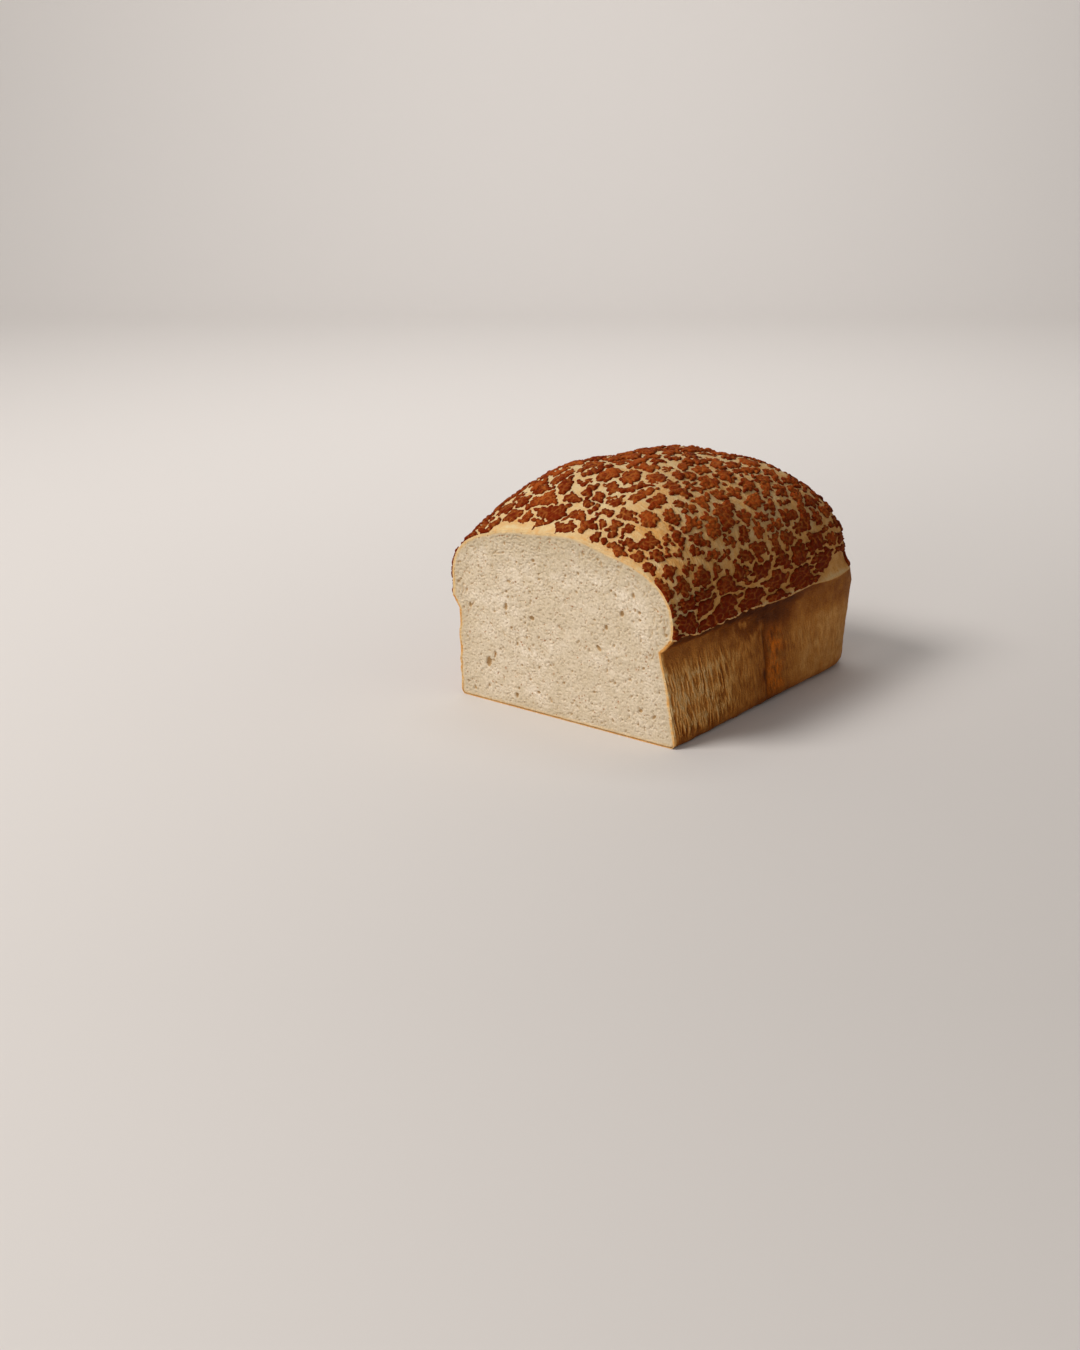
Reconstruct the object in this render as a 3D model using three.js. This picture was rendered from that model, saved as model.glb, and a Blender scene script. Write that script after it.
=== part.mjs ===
// A tin-baked tiger loaf with its first slices cut off, lying on its flat base.
//
// Millimetres, +Z up. X runs across the loaf and Y along it: the cut face looks to -Y, the uncut end
// to +Y. The loaf is one solid: the straight wall that the tin shaped, the domed top that rose out of
// the tin and hangs over the wall as a lip, and the cracked rice-paste plates raised on the dome.
//
// The form is worked out round a spine, the straight line under the ridge. Along the spine the two
// sides run straight, and past its end the outline turns about the spine's last point to close the
// uncut end. The crust over the dome is laid out flat in a plan (u, v), u being the way down from the
// ridge and v the way along the spine. The plates are drawn in that plan and then laid on the dome.
import * as THREE from "three";

// ---- Driving sizes -------------------------------------------------------------------------------

const HALF_WIDTH = 69; // half the width of the tin wall at the base
const LENGTH = 180; // from the cut to the uncut end, at the base
const CAP_DEPTH = 58.5; // how far before the uncut end the sides start to close
const CORNER_POWER = 6.3; // squareness of the tin's outline, as the power of a superellipse
const EDGE_RADIUS = { atCut: 2.6, atEnd: 7 }; // rounded edge between base and wall
const CUT_LEAN = THREE.MathUtils.degToRad(4.2); // the cut leans out over its own base line
const LEAN_REACH = 60; // the lean has died out this far along the spine

const WAIST_HEIGHT = 49; // crease at the tin's rim
const LIP_HEIGHT = 56; // lowest line of the overhanging dome
const BULGE_HEIGHT = 65; // widest level of the dome
const LIP_WAVE = 0.7; // the lip's line wanders up and down by this
const LIP_TURNS = 23; // how fast it wanders, in radians from the cut to the far end

// How far each level stands out from the tin's outline, at the cut and at the middle of the far end, and
// how much more it does so on the left of the cut, where the wall stands straighter.
const BASE_OUT = { atCut: 0.8, atEnd: 0.8, moreLeft: -2.4 };
const WAIST_OUT = { atCut: -6.5, atEnd: 5, moreLeft: 2.8 };
const LIP_OUT = { atCut: 0.5, atEnd: 2.8, moreLeft: 0.1 };
const BULGE_OUT = { atCut: 1.3, atEnd: -2, moreLeft: -1.6 };
const WALL_POWER = 1.3; // the wall leans most near the waist

const PEAK_HEIGHT = 125; // top of the ridge
const PEAK_AT = 56; // where it is, along the spine from the cut
const DROP_TO_CUT = 26.2; // the ridge falls by this from its peak to the cut
const DROP_TO_END = 14.5; // and by this towards the uncut end
const DOME_POWER = 2.15; // roundness of the dome's section
const FULLER_LEFT = 0.22; // added to it on the left of the cut
const CROWN_POWER = 2.2; // squareness of the dome's outline near the ridge

// The dome is gently uneven: broad lumps and finer slanting ones, which fade in above the bulge.
const LUMP_HEIGHT = 0.7;
const LUMP_FADE = 30; // height over which they reach their full size
const BROAD_LUMP = { x: 11, y: 14 };
const FINE_LUMP = { x: 6.5, y: 9, share: 0.6 };

const PLATE_PITCH = 10.2; // usual distance between the middles of two plates
const PLATE_RISE = 1.1; // how far a plate stands above the crack beside it
const PLATE_CROWN = 0.25; // and its middle above its own edge
const CRACK_HALF_WIDTH = { least: 1, most: 2.1 };
const PLATE_JITTER = 0.3; // how far a plate's middle strays, as a share of the pitch
const DEEPEST_INSET = 0.6; // most that a plate's corner is drawn in, as a share of the way to its middle
const ROW_SPACING = 0.88; // distance between rows of plates, as a share of the pitch
const ROW_SHIFTS = [0.8, 0.3]; // where even and odd rows start, as a share of the pitch
const BARE_SHARE = 0.05; // share of the crust's cells without a plate
const BARE_BAND = { width: 8, from: -48, to: 10 }; // pale band along the cut, left of the ridge
const SMALLEST_PLATE = 18; // square millimetres: a smaller cell stays bare
const SEED = 7;

const REST = { halfWidth: 0.8 * HALF_WIDTH, from: 0.08 * LENGTH, to: 0.9 * LENGTH }; // flat under the base

// ---- Fineness --------------------------------------------------------------------------------------

const SIDE_STEPS = 8; // stations along each straight side
const CAP_STEPS = 44; // stations round the uncut end
const WALL_STEPS = 4; // levels up the wall
const EDGE_STEPS = 2; // levels round the bottom edge
const ARC_STEPS = 200; // steps that measure the dome's arc
const RIM_SIDES = 28; // sides of the plan's round end
const CUT_SIDES = 26; // and of its straight end at the cut
const ROW_SAMPLES = 120; // samples that measure a row of plates
const WELD = 0.7; // points of the plan closer than this are one

// ---- Small helpers ---------------------------------------------------------------------------------

const SPINE_LENGTH = LENGTH - CAP_DEPTH;
const { lerp, smoothstep } = THREE.MathUtils;

/** A repeatable random number from 0 to 1 for up to three whole numbers. */
function draw(i, j = 0, k = 0) {
  const wave = Math.sin(i * 12.9898 + j * 78.233 + k * 37.719 + SEED) * 43758.5453;
  return wave - Math.floor(wave);
}

/** Distance from the centre to a superellipse of the base's half sizes, in the direction (c, s). */
function outline(c, s, power) {
  return (Math.abs(c / HALF_WIDTH) ** power + Math.abs(s / CAP_DEPTH) ** power) ** (-1 / power);
}

/** Height of the ridge at y along the loaf. */
function ridgeHeight(y) {
  const before = Math.max(0, (PEAK_AT - y) / PEAK_AT);
  const after = Math.max(0, (y - PEAK_AT) / (LENGTH - PEAK_AT));
  return PEAK_HEIGHT - DROP_TO_CUT * before ** 2 - DROP_TO_END * after ** 2;
}

/** How much a place belongs to the left of the cut, from 0 to 1. */
function leftShare(place) {
  return Math.max(0, -place.c) * (1 - smoothstep(place.share, 0, 0.5));
}

/** How far a level stands out at a place: from its value at the cut to its value at the far end. */
function standOut(level, place) {
  const usual = lerp(level.atCut, level.atEnd, smoothstep(place.share, 0, 1));
  return usual + level.moreLeft * leftShare(place);
}

/** Radius of the bottom edge at a place: the tin's bottom is sharper along the sides than at its end. */
function edgeRadius(place) {
  return lerp(EDGE_RADIUS.atCut, EDGE_RADIUS.atEnd, smoothstep(place.share, 0, 0.6));
}

// ---- The loaf's surface ----------------------------------------------------------------------------

/**
 * A place round the loaf: the point y of the spine that it hangs on, the direction (c, s) in which it
 * looks away from the spine, and its share of the way from the cut to the middle of the far end.
 */
function placeOf(y, c, s) {
  const onCap = y >= SPINE_LENGTH;
  return { y, c, s, share: onCap ? 0.5 + 0.5 * s : (0.5 * y) / SPINE_LENGTH };
}

/** The surface point at a place, at a distance from the spine and a height. */
function pointAt(place, distance, height) {
  const x = distance * place.c;
  const y = place.y + distance * place.s;
  const overWall = smoothstep(height, BULGE_HEIGHT, BULGE_HEIGHT + LUMP_FADE);
  const broad = Math.sin(x / BROAD_LUMP.x + 1) * Math.sin(y / BROAD_LUMP.y + 2);
  const fine = FINE_LUMP.share * Math.sin(x / FINE_LUMP.x - y / FINE_LUMP.y);
  const z = height + LUMP_HEIGHT * overWall * (broad + fine);
  const lean = Math.max(0, 1 - y / LEAN_REACH) * Math.tan(CUT_LEAN) * z;
  return new THREE.Vector3(x, y - lean, z);
}

/** Height of the lip at a place: it wanders a little. */
function lipHeight(place) {
  return LIP_HEIGHT + LIP_WAVE * Math.sin(LIP_TURNS * place.share + 2 * place.c);
}

/** A point of the tin wall, t running from 0 at the bottom edge to 1 at the waist. */
function wallPoint(place, t) {
  const out = lerp(standOut(BASE_OUT, place), standOut(WAIST_OUT, place), t ** WALL_POWER);
  const height = lerp(edgeRadius(place), WAIST_HEIGHT, t);
  return pointAt(place, outline(place.c, place.s, CORNER_POWER) + out, height);
}

/** A point of the rounded bottom edge, the angle running from 0 at the base to 90 degrees at the wall. */
function edgePoint(place, angle) {
  const radius = edgeRadius(place);
  const inner = outline(place.c, place.s, CORNER_POWER) + standOut(BASE_OUT, place) - radius;
  return pointAt(place, inner + radius * Math.sin(angle), radius * (1 - Math.cos(angle)));
}

/** A point between the lip (t = 0) and the dome's widest level (t = 1). */
function lipPoint(place, t) {
  const out = lerp(standOut(LIP_OUT, place), standOut(BULGE_OUT, place), Math.sin((t * Math.PI) / 2));
  const distance = outline(place.c, place.s, CORNER_POWER) + out;
  return pointAt(place, distance, lerp(lipHeight(place), BULGE_HEIGHT, t));
}

/** A point of the dome, the angle running from 0 at its widest level to 90 degrees at the ridge. */
function domePoint(place, angle) {
  const roundness = DOME_POWER + FULLER_LEFT * leftShare(place);
  const inward = Math.cos(angle) ** (2 / roundness);
  const upward = Math.sin(angle) ** (2 / roundness);
  const power = lerp(CROWN_POWER, CORNER_POWER, inward);
  const square = outline(place.c, place.s, CORNER_POWER);
  const reach = (square + standOut(BULGE_OUT, place)) * (outline(place.c, place.s, power) / square);
  const distance = reach * inward;
  const top = ridgeHeight(place.y + distance * place.s);
  return pointAt(place, distance, lerp(BULGE_HEIGHT, top, upward));
}

// ---- The crust's plan ------------------------------------------------------------------------------

/** Lengths of the dome's arc from the ridge down, one for each equal step of its angle. */
function measureArc() {
  const middle = placeOf(PEAK_AT, 1, 0);
  const lengths = [0];
  let last = domePoint(middle, Math.PI / 2);
  for (let i = 1; i <= ARC_STEPS; i++) {
    const next = domePoint(middle, (Math.PI / 2) * (1 - i / ARC_STEPS));
    lengths.push(lengths[i - 1] + next.distanceTo(last));
    last = next;
  }
  return lengths;
}

const ARC = measureArc();
const DOME_ARC = ARC[ARC_STEPS]; // from the ridge down to the widest level
const CRUST_REACH = DOME_ARC + BULGE_HEIGHT - LIP_HEIGHT; // and on to the lip

/** The dome's angle at a length down from the ridge. */
function angleAtArc(length) {
  const i = Math.max(1, ARC.findIndex((reached) => reached >= length));
  const part = (length - ARC[i - 1]) / (ARC[i] - ARC[i - 1]);
  return (Math.PI / 2) * (1 - (i - 1 + part) / ARC_STEPS);
}

/** The surface point over a point of the plan. */
function crustPoint(u, v) {
  const onCap = v > SPINE_LENGTH;
  const along = onCap ? v - SPINE_LENGTH : 0;
  const down = Math.hypot(u, along);
  const place = placeOf(onCap ? SPINE_LENGTH : v, down ? u / down : 1, down ? along / down : 0);
  if (down >= DOME_ARC) {
    return lipPoint(place, Math.max(0, (CRUST_REACH - down) / (CRUST_REACH - DOME_ARC)));
  }
  return domePoint(place, angleAtArc(down));
}

/** The surface point over a point of the plan, raised along the surface's normal. */
function raisedPoint(u, v, rise) {
  const step = 0.5;
  const across = crustPoint(u + step, v).sub(crustPoint(u - step, v));
  const along = crustPoint(u, v + step).sub(crustPoint(u, v - step));
  return crustPoint(u, v).addScaledVector(across.cross(along).normalize(), rise);
}

/** The point of the plan at a distance down from the ridge, a share of the way round from cut to cut. */
function planPoint(down, share) {
  const round = Math.PI * down;
  const travel = share * (2 * SPINE_LENGTH + round);
  if (travel < SPINE_LENGTH) return new THREE.Vector2(-down, travel);
  if (travel > SPINE_LENGTH + round) {
    return new THREE.Vector2(down, 2 * SPINE_LENGTH + round - travel);
  }
  const angle = Math.PI - (travel - SPINE_LENGTH) / down;
  return new THREE.Vector2(down * Math.cos(angle), SPINE_LENGTH + down * Math.sin(angle));
}

/** Shares of the way round that are about a pitch apart on the real surface, for a row of plates. */
function evenShares(down, shift) {
  const reached = [0];
  let last = null;
  for (let i = 0; i <= ROW_SAMPLES; i++) {
    const { x, y } = planPoint(down, i / ROW_SAMPLES);
    const next = crustPoint(x, y);
    if (last) reached.push(reached[i - 1] + next.distanceTo(last));
    last = next;
  }
  const total = reached[ROW_SAMPLES];
  const wanted = Math.round(total / PLATE_PITCH);
  return Array.from({ length: wanted }, (_, i) => {
    const goal = (total * (i + shift)) / wanted;
    const k = Math.max(1, reached.findIndex((length) => length >= goal));
    return (k - 1 + (goal - reached[k - 1]) / (reached[k] - reached[k - 1])) / ROW_SAMPLES;
  });
}

/** Middles of the crust's cells: jittered rows that run round the loaf at equal steps down. */
function cellMiddles() {
  const rowCount = Math.round(CRUST_REACH / (PLATE_PITCH * ROW_SPACING));
  const rowPitch = CRUST_REACH / rowCount;
  const middles = [];
  for (let row = 0; row < rowCount; row++) {
    const down = (row + 0.5) * rowPitch;
    evenShares(down, ROW_SHIFTS[row % 2]).forEach((share, i) => {
      const stray = (k) => (2 * draw(row, i, k) - 1) * PLATE_JITTER * PLATE_PITCH;
      const middle = planPoint(down, share);
      middles.push(middle.add(new THREE.Vector2(stray(1), stray(2))));
    });
  }
  return middles;
}

/** The plan's own outline, corner by corner: the line of the cut, two straight sides and a round end. */
function planOutline() {
  const corners = [];
  for (let i = 0; i <= CUT_SIDES; i++) {
    corners.push(new THREE.Vector2(CRUST_REACH * ((2 * i) / CUT_SIDES - 1), 0));
  }
  for (let i = 0; i <= RIM_SIDES; i++) {
    const angle = (Math.PI * i) / RIM_SIDES;
    corners.push(
      new THREE.Vector2(
        CRUST_REACH * Math.cos(angle),
        SPINE_LENGTH + CRUST_REACH * Math.sin(angle),
      ),
    );
  }
  return corners;
}

/** The part of a convex polygon that is nearer to one middle than to another. */
function nearerPart(polygon, own, other) {
  const normal = other.clone().sub(own);
  const limit = normal.dot(own.clone().add(other).multiplyScalar(0.5));
  const kept = [];
  polygon.forEach((from, i) => {
    const to = polygon[(i + 1) % polygon.length];
    const a = normal.dot(from) - limit;
    const b = normal.dot(to) - limit;
    if (a <= 0) kept.push(from);
    if (a < 0 !== b < 0 && a !== 0 && b !== 0) kept.push(from.clone().lerp(to, a / (a - b)));
  });
  return kept;
}

/** The cells of the crust: for each middle, the polygon of the plan that is nearest to it. */
function crustCells() {
  const middles = cellMiddles();
  const whole = planOutline();
  const farthest = 4 * PLATE_PITCH;
  return middles.map((own, i) =>
    middles
      .filter((other, j) => j !== i && other.distanceTo(own) < farthest)
      .reduce((polygon, other) => nearerPart(polygon, own, other), whole),
  );
}

// ---- The mesh --------------------------------------------------------------------------------------

const points = []; // every corner of the solid
const faces = []; // triples of numbers into points, anticlockwise from outside

function addPoint(point) {
  return points.push(point) - 1;
}

function addFace(a, b, c) {
  if (a !== b && b !== c && c !== a) faces.push([a, b, c]);
}

/** Joins two lines of corners, each with its place along the way, by a strip of triangles. */
function addStrip(lower, upper) {
  let i = 0;
  let j = 0;
  while (i < lower.length - 1 || j < upper.length - 1) {
    const lowerNext = i < lower.length - 1 ? lower[i + 1].at : Infinity;
    const upperNext = j < upper.length - 1 ? upper[j + 1].at : Infinity;
    if (lowerNext <= upperNext) {
      addFace(lower[i].id, upper[j].id, lower[i + 1].id);
      i++;
    } else {
      addFace(lower[i].id, upper[j].id, upper[j + 1].id);
      j++;
    }
  }
}

/** Area of a polygon, positive when it runs anticlockwise. */
function area(polygon) {
  return polygon.reduce((sum, p, i) => sum + p.cross(polygon[(i + 1) % polygon.length]), 0) / 2;
}

/** Whether a cell of the crust carries a plate. */
function carriesPlate(cell, middle, index) {
  const inBand = middle.x > BARE_BAND.from && middle.x < BARE_BAND.to && middle.y < BARE_BAND.width;
  return !inBand && area(cell) > SMALLEST_PLATE && draw(index, 5) > BARE_SHARE;
}

/** Adds the crust over the dome, with its plates, and gives the plan's points that were used. */
function addCrust() {
  const corners = []; // the cracks' crossings in the plan, each with its number in points
  const cornerAt = (p) => {
    const known = corners.find((corner) => corner.spot.distanceTo(p) < WELD);
    if (known) return known;
    const corner = { spot: p, id: addPoint(crustPoint(p.x, p.y)) };
    corners.push(corner);
    return corner;
  };
  crustCells().forEach((polygon, index) => {
    const cell = polygon.map(cornerAt).filter((corner, i, all) => corner !== all[(i + 1) % all.length]);
    if (cell.length < 3) return;
    const spots = cell.map((corner) => corner.spot);
    const middle = spots.reduce((sum, p) => sum.add(p), new THREE.Vector2()).divideScalar(spots.length);
    if (!carriesPlate(spots, middle, index)) {
      const bare = addPoint(crustPoint(middle.x, middle.y));
      cell.forEach((corner, i) => addFace(corner.id, cell[(i + 1) % cell.length].id, bare));
      return;
    }
    const rim = spots.map((p, i) => {
      const inset = lerp(CRACK_HALF_WIDTH.least, CRACK_HALF_WIDTH.most, draw(index, i, 9));
      const spot = p.clone().lerp(middle, Math.min(DEEPEST_INSET, inset / p.distanceTo(middle)));
      return addPoint(raisedPoint(spot.x, spot.y, PLATE_RISE));
    });
    const top = addPoint(raisedPoint(middle.x, middle.y, PLATE_RISE + PLATE_CROWN));
    cell.forEach((corner, i) => {
      const next = (i + 1) % cell.length;
      addFace(corner.id, cell[next].id, rim[next]);
      addFace(corner.id, rim[next], rim[i]);
      addFace(rim[i], rim[next], top);
    });
  });
  return corners;
}

/** The crust's open border as a line of corners, from the left cut edge round to the right one. */
function crustBorder(corners) {
  const after = new Map();
  const edges = new Set(faces.flatMap(([a, b, c]) => [`${a} ${b}`, `${b} ${c}`, `${c} ${a}`]));
  for (const edge of edges) {
    const [a, b] = edge.split(" ").map(Number);
    if (!edges.has(`${b} ${a}`)) after.set(a, b);
  }
  const spotOf = new Map(corners.map(({ spot, id }) => [id, spot]));
  const start = [...after.keys()].find((id) => {
    const { x, y } = spotOf.get(id);
    return y < WELD && x > CRUST_REACH - WELD;
  });
  const loop = [start];
  for (let id = after.get(start); id !== start; id = after.get(id)) loop.push(id);
  return loop.map((id) => ({ id, spot: spotOf.get(id) }));
}

/** The stations of the wall, from the left side of the cut round to the right. */
function wallStations() {
  const stations = [];
  const round = Math.PI * CRUST_REACH;
  for (let i = 0; i < SIDE_STEPS; i++) {
    const y = (SPINE_LENGTH * i) / SIDE_STEPS;
    stations.push({ place: placeOf(y, -1, 0), at: y });
  }
  for (let i = 0; i <= CAP_STEPS; i++) {
    const angle = Math.PI * (1 - i / CAP_STEPS);
    const place = placeOf(SPINE_LENGTH, Math.cos(angle), Math.sin(angle));
    stations.push({ place, at: SPINE_LENGTH + (round * i) / CAP_STEPS });
  }
  for (let i = 1; i <= SIDE_STEPS; i++) {
    const y = SPINE_LENGTH * (1 - i / SIDE_STEPS);
    stations.push({ place: placeOf(y, 1, 0), at: 2 * SPINE_LENGTH + round - y });
  }
  return stations;
}

/** Adds the bottom edge and the wall, and gives its levels, each a line of corners. */
function addWall() {
  const levels = [];
  const stations = wallStations();
  const addLevel = (pointOf) => {
    levels.push(stations.map(({ place, at }) => ({ at, id: addPoint(pointOf(place)) })));
  };
  for (let i = 0; i <= EDGE_STEPS; i++) {
    addLevel((place) => edgePoint(place, ((Math.PI / 2) * i) / EDGE_STEPS));
  }
  for (let i = 1; i <= WALL_STEPS; i++) addLevel((place) => wallPoint(place, i / WALL_STEPS));
  for (let i = 1; i < levels.length; i++) addStrip(levels[i - 1], levels[i]);
  return levels;
}

/** Adds a flat face whose outline, and hole if it has one, are lines of corners seen from outside. */
function addFlat(outer, hole, flatten) {
  const flat = (ids) => ids.map((id) => flatten(points[id]));
  const all = [...outer, ...hole];
  const triples = THREE.ShapeUtils.triangulateShape(flat(outer), hole.length ? [flat(hole)] : []);
  for (const [a, b, c] of triples) addFace(all[a], all[b], all[c]);
}

/** Adds the flat base: a ring round one large rectangle that the loaf rests on. */
function addBase(outlineIds) {
  const rectangle = [
    addPoint(new THREE.Vector3(-REST.halfWidth, REST.from, 0)),
    addPoint(new THREE.Vector3(REST.halfWidth, REST.from, 0)),
    addPoint(new THREE.Vector3(REST.halfWidth, REST.to, 0)),
    addPoint(new THREE.Vector3(-REST.halfWidth, REST.to, 0)),
  ];
  addFlat(outlineIds, rectangle, (p) => new THREE.Vector2(-p.x, p.y));
  addFace(rectangle[0], rectangle[2], rectangle[1]);
  addFace(rectangle[0], rectangle[3], rectangle[2]);
}

/** Builds the whole loaf and sets its base's middle at the origin. */
function loafGeometry() {
  const border = crustBorder(addCrust());
  const lastOnLip = border.findIndex(({ spot }) => spot.y < WELD && spot.x < WELD - CRUST_REACH);
  const lip = border.slice(0, lastOnLip + 1).reverse();
  const cutEdge = border.slice(lastOnLip).concat(border[0]);
  const levels = addWall();
  const round = Math.PI * CRUST_REACH;
  const lipLine = lip.map(({ spot, id }) => {
    if (spot.y > SPINE_LENGTH) {
      const angle = Math.atan2(spot.y - SPINE_LENGTH, spot.x);
      return { id, at: SPINE_LENGTH + CRUST_REACH * (Math.PI - angle) };
    }
    return { id, at: spot.x < 0 ? spot.y : 2 * SPINE_LENGTH + round - spot.y };
  });
  addStrip(levels[levels.length - 1], lipLine);

  const leftProfile = levels.map((level) => level[0].id);
  const rightProfile = levels.map((level) => level[level.length - 1].id);
  const overTop = cutEdge.map(({ id }) => id).reverse();
  addFlat([...leftProfile.reverse(), ...rightProfile, ...overTop], [], (p) => new THREE.Vector2(p.x, p.z));
  addBase(levels[0].map(({ id }) => id).reverse());

  const geometry = new THREE.BufferGeometry().setFromPoints(points);
  geometry.setIndex(faces.flat());
  geometry.computeBoundingBox();
  const { min, max } = geometry.boundingBox;
  geometry.translate(-(min.x + max.x) / 2, -(min.y + max.y) / 2, -min.z);
  geometry.computeVertexNormals();
  return geometry;
}

const crust = new THREE.MeshStandardMaterial({ color: 0xb9743f, roughness: 0.85, metalness: 0 });
const loaf = new THREE.Mesh(loafGeometry(), crust);
loaf.name = "loaf";

const group = new THREE.Group();
group.add(loaf);

export default group;
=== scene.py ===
"""Looks of a tin-baked tiger loaf with its first slices cut off, standing on a plain pale floor.

Sizes are in millimetres and meshes are written in metres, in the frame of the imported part: +Z up, X
across the loaf and Y along it, with the cut face towards -Y.

The loaf's form is worked out round a spine, the straight line under the ridge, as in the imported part.
Three kinds of pieces dress it: the crust body (skin of the dome, lip, tin wall and base), the crumb
in the cut face, and the rice-paste plates on the dome.
"""

import logging
import math
from dataclasses import dataclass, field
from enum import Enum, IntEnum
from functools import cached_property

import bpy
import numpy as np
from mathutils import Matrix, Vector
from mathutils.kdtree import KDTree


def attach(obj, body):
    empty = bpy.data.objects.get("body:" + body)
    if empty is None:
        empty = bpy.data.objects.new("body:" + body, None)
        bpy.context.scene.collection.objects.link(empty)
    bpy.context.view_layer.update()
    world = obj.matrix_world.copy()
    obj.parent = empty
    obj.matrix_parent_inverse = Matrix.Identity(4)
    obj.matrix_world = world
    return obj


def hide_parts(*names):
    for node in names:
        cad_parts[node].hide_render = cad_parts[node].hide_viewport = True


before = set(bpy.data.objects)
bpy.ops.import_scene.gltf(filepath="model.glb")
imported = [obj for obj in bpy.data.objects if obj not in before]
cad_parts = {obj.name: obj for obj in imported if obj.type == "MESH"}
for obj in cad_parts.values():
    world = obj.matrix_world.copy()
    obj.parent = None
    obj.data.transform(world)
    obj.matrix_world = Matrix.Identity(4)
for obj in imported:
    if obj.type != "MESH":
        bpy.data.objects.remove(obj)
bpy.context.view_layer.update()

MM = 0.001  # one millimetre in metres
BODY = "root"
NODE = "loaf"
SEED = 7

Array = np.ndarray
log = logging.getLogger("tiger_loaf")


# ---- Numbers ---------------------------------------------------------------------------------------


def lerp(low: Array | float, high: Array | float, part: Array | float) -> Array | float:
    """Goes from low to high as part goes from 0 to 1."""
    return low + (high - low) * part


def smoothstep(value: Array | float, low: float, high: float) -> Array:
    """Rises smoothly from 0 at low to 1 at high."""
    part = np.clip((np.asarray(value, float) - low) / (high - low), 0.0, 1.0)
    return part * part * (3.0 - 2.0 * part)


def bump(value: Array, middle: float, width: float) -> Array:
    """A smooth hump of height 1 round a middle."""
    return np.exp(-(((value - middle) / width) ** 2))


def draw(i: int, j: int = 0, k: int = 0) -> float:
    """Gives a repeatable random number from 0 to 1 for up to three whole numbers."""
    wave = math.sin(i * 12.9898 + j * 78.233 + k * 37.719 + SEED) * 43758.5453
    return wave - math.floor(wave)


def hashed(i: Array, j: Array, k: Array, salt: int) -> Array:
    """Mixes three arrays of whole numbers into repeatable 32-bit numbers.

    Args:
        i: First numbers.
        j: Second numbers.
        k: Third numbers.
        salt: Number that tells one use from another.

    Returns:
        One number below 2**32 for each entry.
    """
    mixed = (i * 374761393 + j * 668265263 + k * 2147483647 + salt * 1274126177) & 0xFFFFFFFF
    mixed = ((mixed ^ (mixed >> 13)) * 1274126177) & 0xFFFFFFFF
    return mixed ^ (mixed >> 16)


def noise(points: Array, size: float | tuple[float, float, float], salt: int) -> Array:
    """Gradient noise of about -1 to 1.

    Args:
        points: Points as rows of three numbers.
        size: Width of one lump, the same or one for each axis.
        salt: Number that tells one noise from another.

    Returns:
        One value for each point.
    """
    scaled = points / np.asarray(size, float)
    corner = np.floor(scaled)
    part = scaled - corner
    cell = corner.astype(np.int64)
    blend = part**3 * (part * (part * 6.0 - 15.0) + 10.0)
    total = np.zeros(len(points))
    for di in (0, 1):
        for dj in (0, 1):
            for dk in (0, 1):
                mixed = hashed(cell[:, 0] + di, cell[:, 1] + dj, cell[:, 2] + dk, salt)
                slopes = [((mixed >> shift) & 1023) / 511.5 - 1.0 for shift in (0, 10, 20)]
                away = part - (di, dj, dk)
                value = sum(slopes[axis] * away[:, axis] for axis in range(3))
                weight = 1.0
                for axis, step in enumerate((di, dj, dk)):
                    weight = weight * (blend[:, axis] if step else 1.0 - blend[:, axis])
                total += weight * value
    return 1.4 * total


def pair_draw(a: Array, b: Array, salt: int) -> Array:
    """Gives a repeatable random number from 0 to 1 for each unordered pair of whole numbers."""
    return hashed(np.minimum(a, b), np.maximum(a, b), np.zeros_like(a), salt) / 0xFFFFFFFF


@dataclass(frozen=True)
class Fade:
    """An amount that sets in, or dies out, smoothly between two values."""

    start: float
    end: float
    amount: float = 1.0

    def sets_in(self, value: Array | float) -> Array:
        """Rises from 0 at the start to the amount at the end."""
        return self.amount * smoothstep(value, self.start, self.end)

    def dies_out(self, value: Array | float) -> Array:
        """Falls from the amount at the start to 0 at the end."""
        return self.amount * (1.0 - smoothstep(value, self.start, self.end))


@dataclass(frozen=True)
class Hump:
    """An amount at a middle value, dying out over a width on both sides."""

    middle: float
    width: float
    amount: float = 1.0

    def at(self, value: Array) -> Array:
        """The amount at values."""
        return self.amount * bump(value, self.middle, self.width)


@dataclass(frozen=True)
class Lumps:
    """Random lumps: how wide one is (one number or one for each axis), the salt that tells them from
    other lumps, and how high they are."""

    size: float | tuple[float, float, float]
    salt: int
    height: float = 1.0

    def at(self, points: Array, turn: int = 0) -> Array:
        """Their height at points; each turn gives other lumps of the same kind."""
        return self.height * noise(points, self.size, self.salt + turn)


def heaped(sorts: tuple[Lumps, ...], points: Array) -> Array:
    """The heights of several sorts of lumps at points, added up."""
    return sum(sort.at(points) for sort in sorts)


# ---- The loaf's form -------------------------------------------------------------------------------


@dataclass(frozen=True)
class Place:
    """Places round the loaf: the point y of the spine that each hangs on, the direction (c, s) in
    which it looks away from the spine, and its share of the way from the cut to the far end."""

    y: Array
    c: Array
    s: Array
    share: Array


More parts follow.
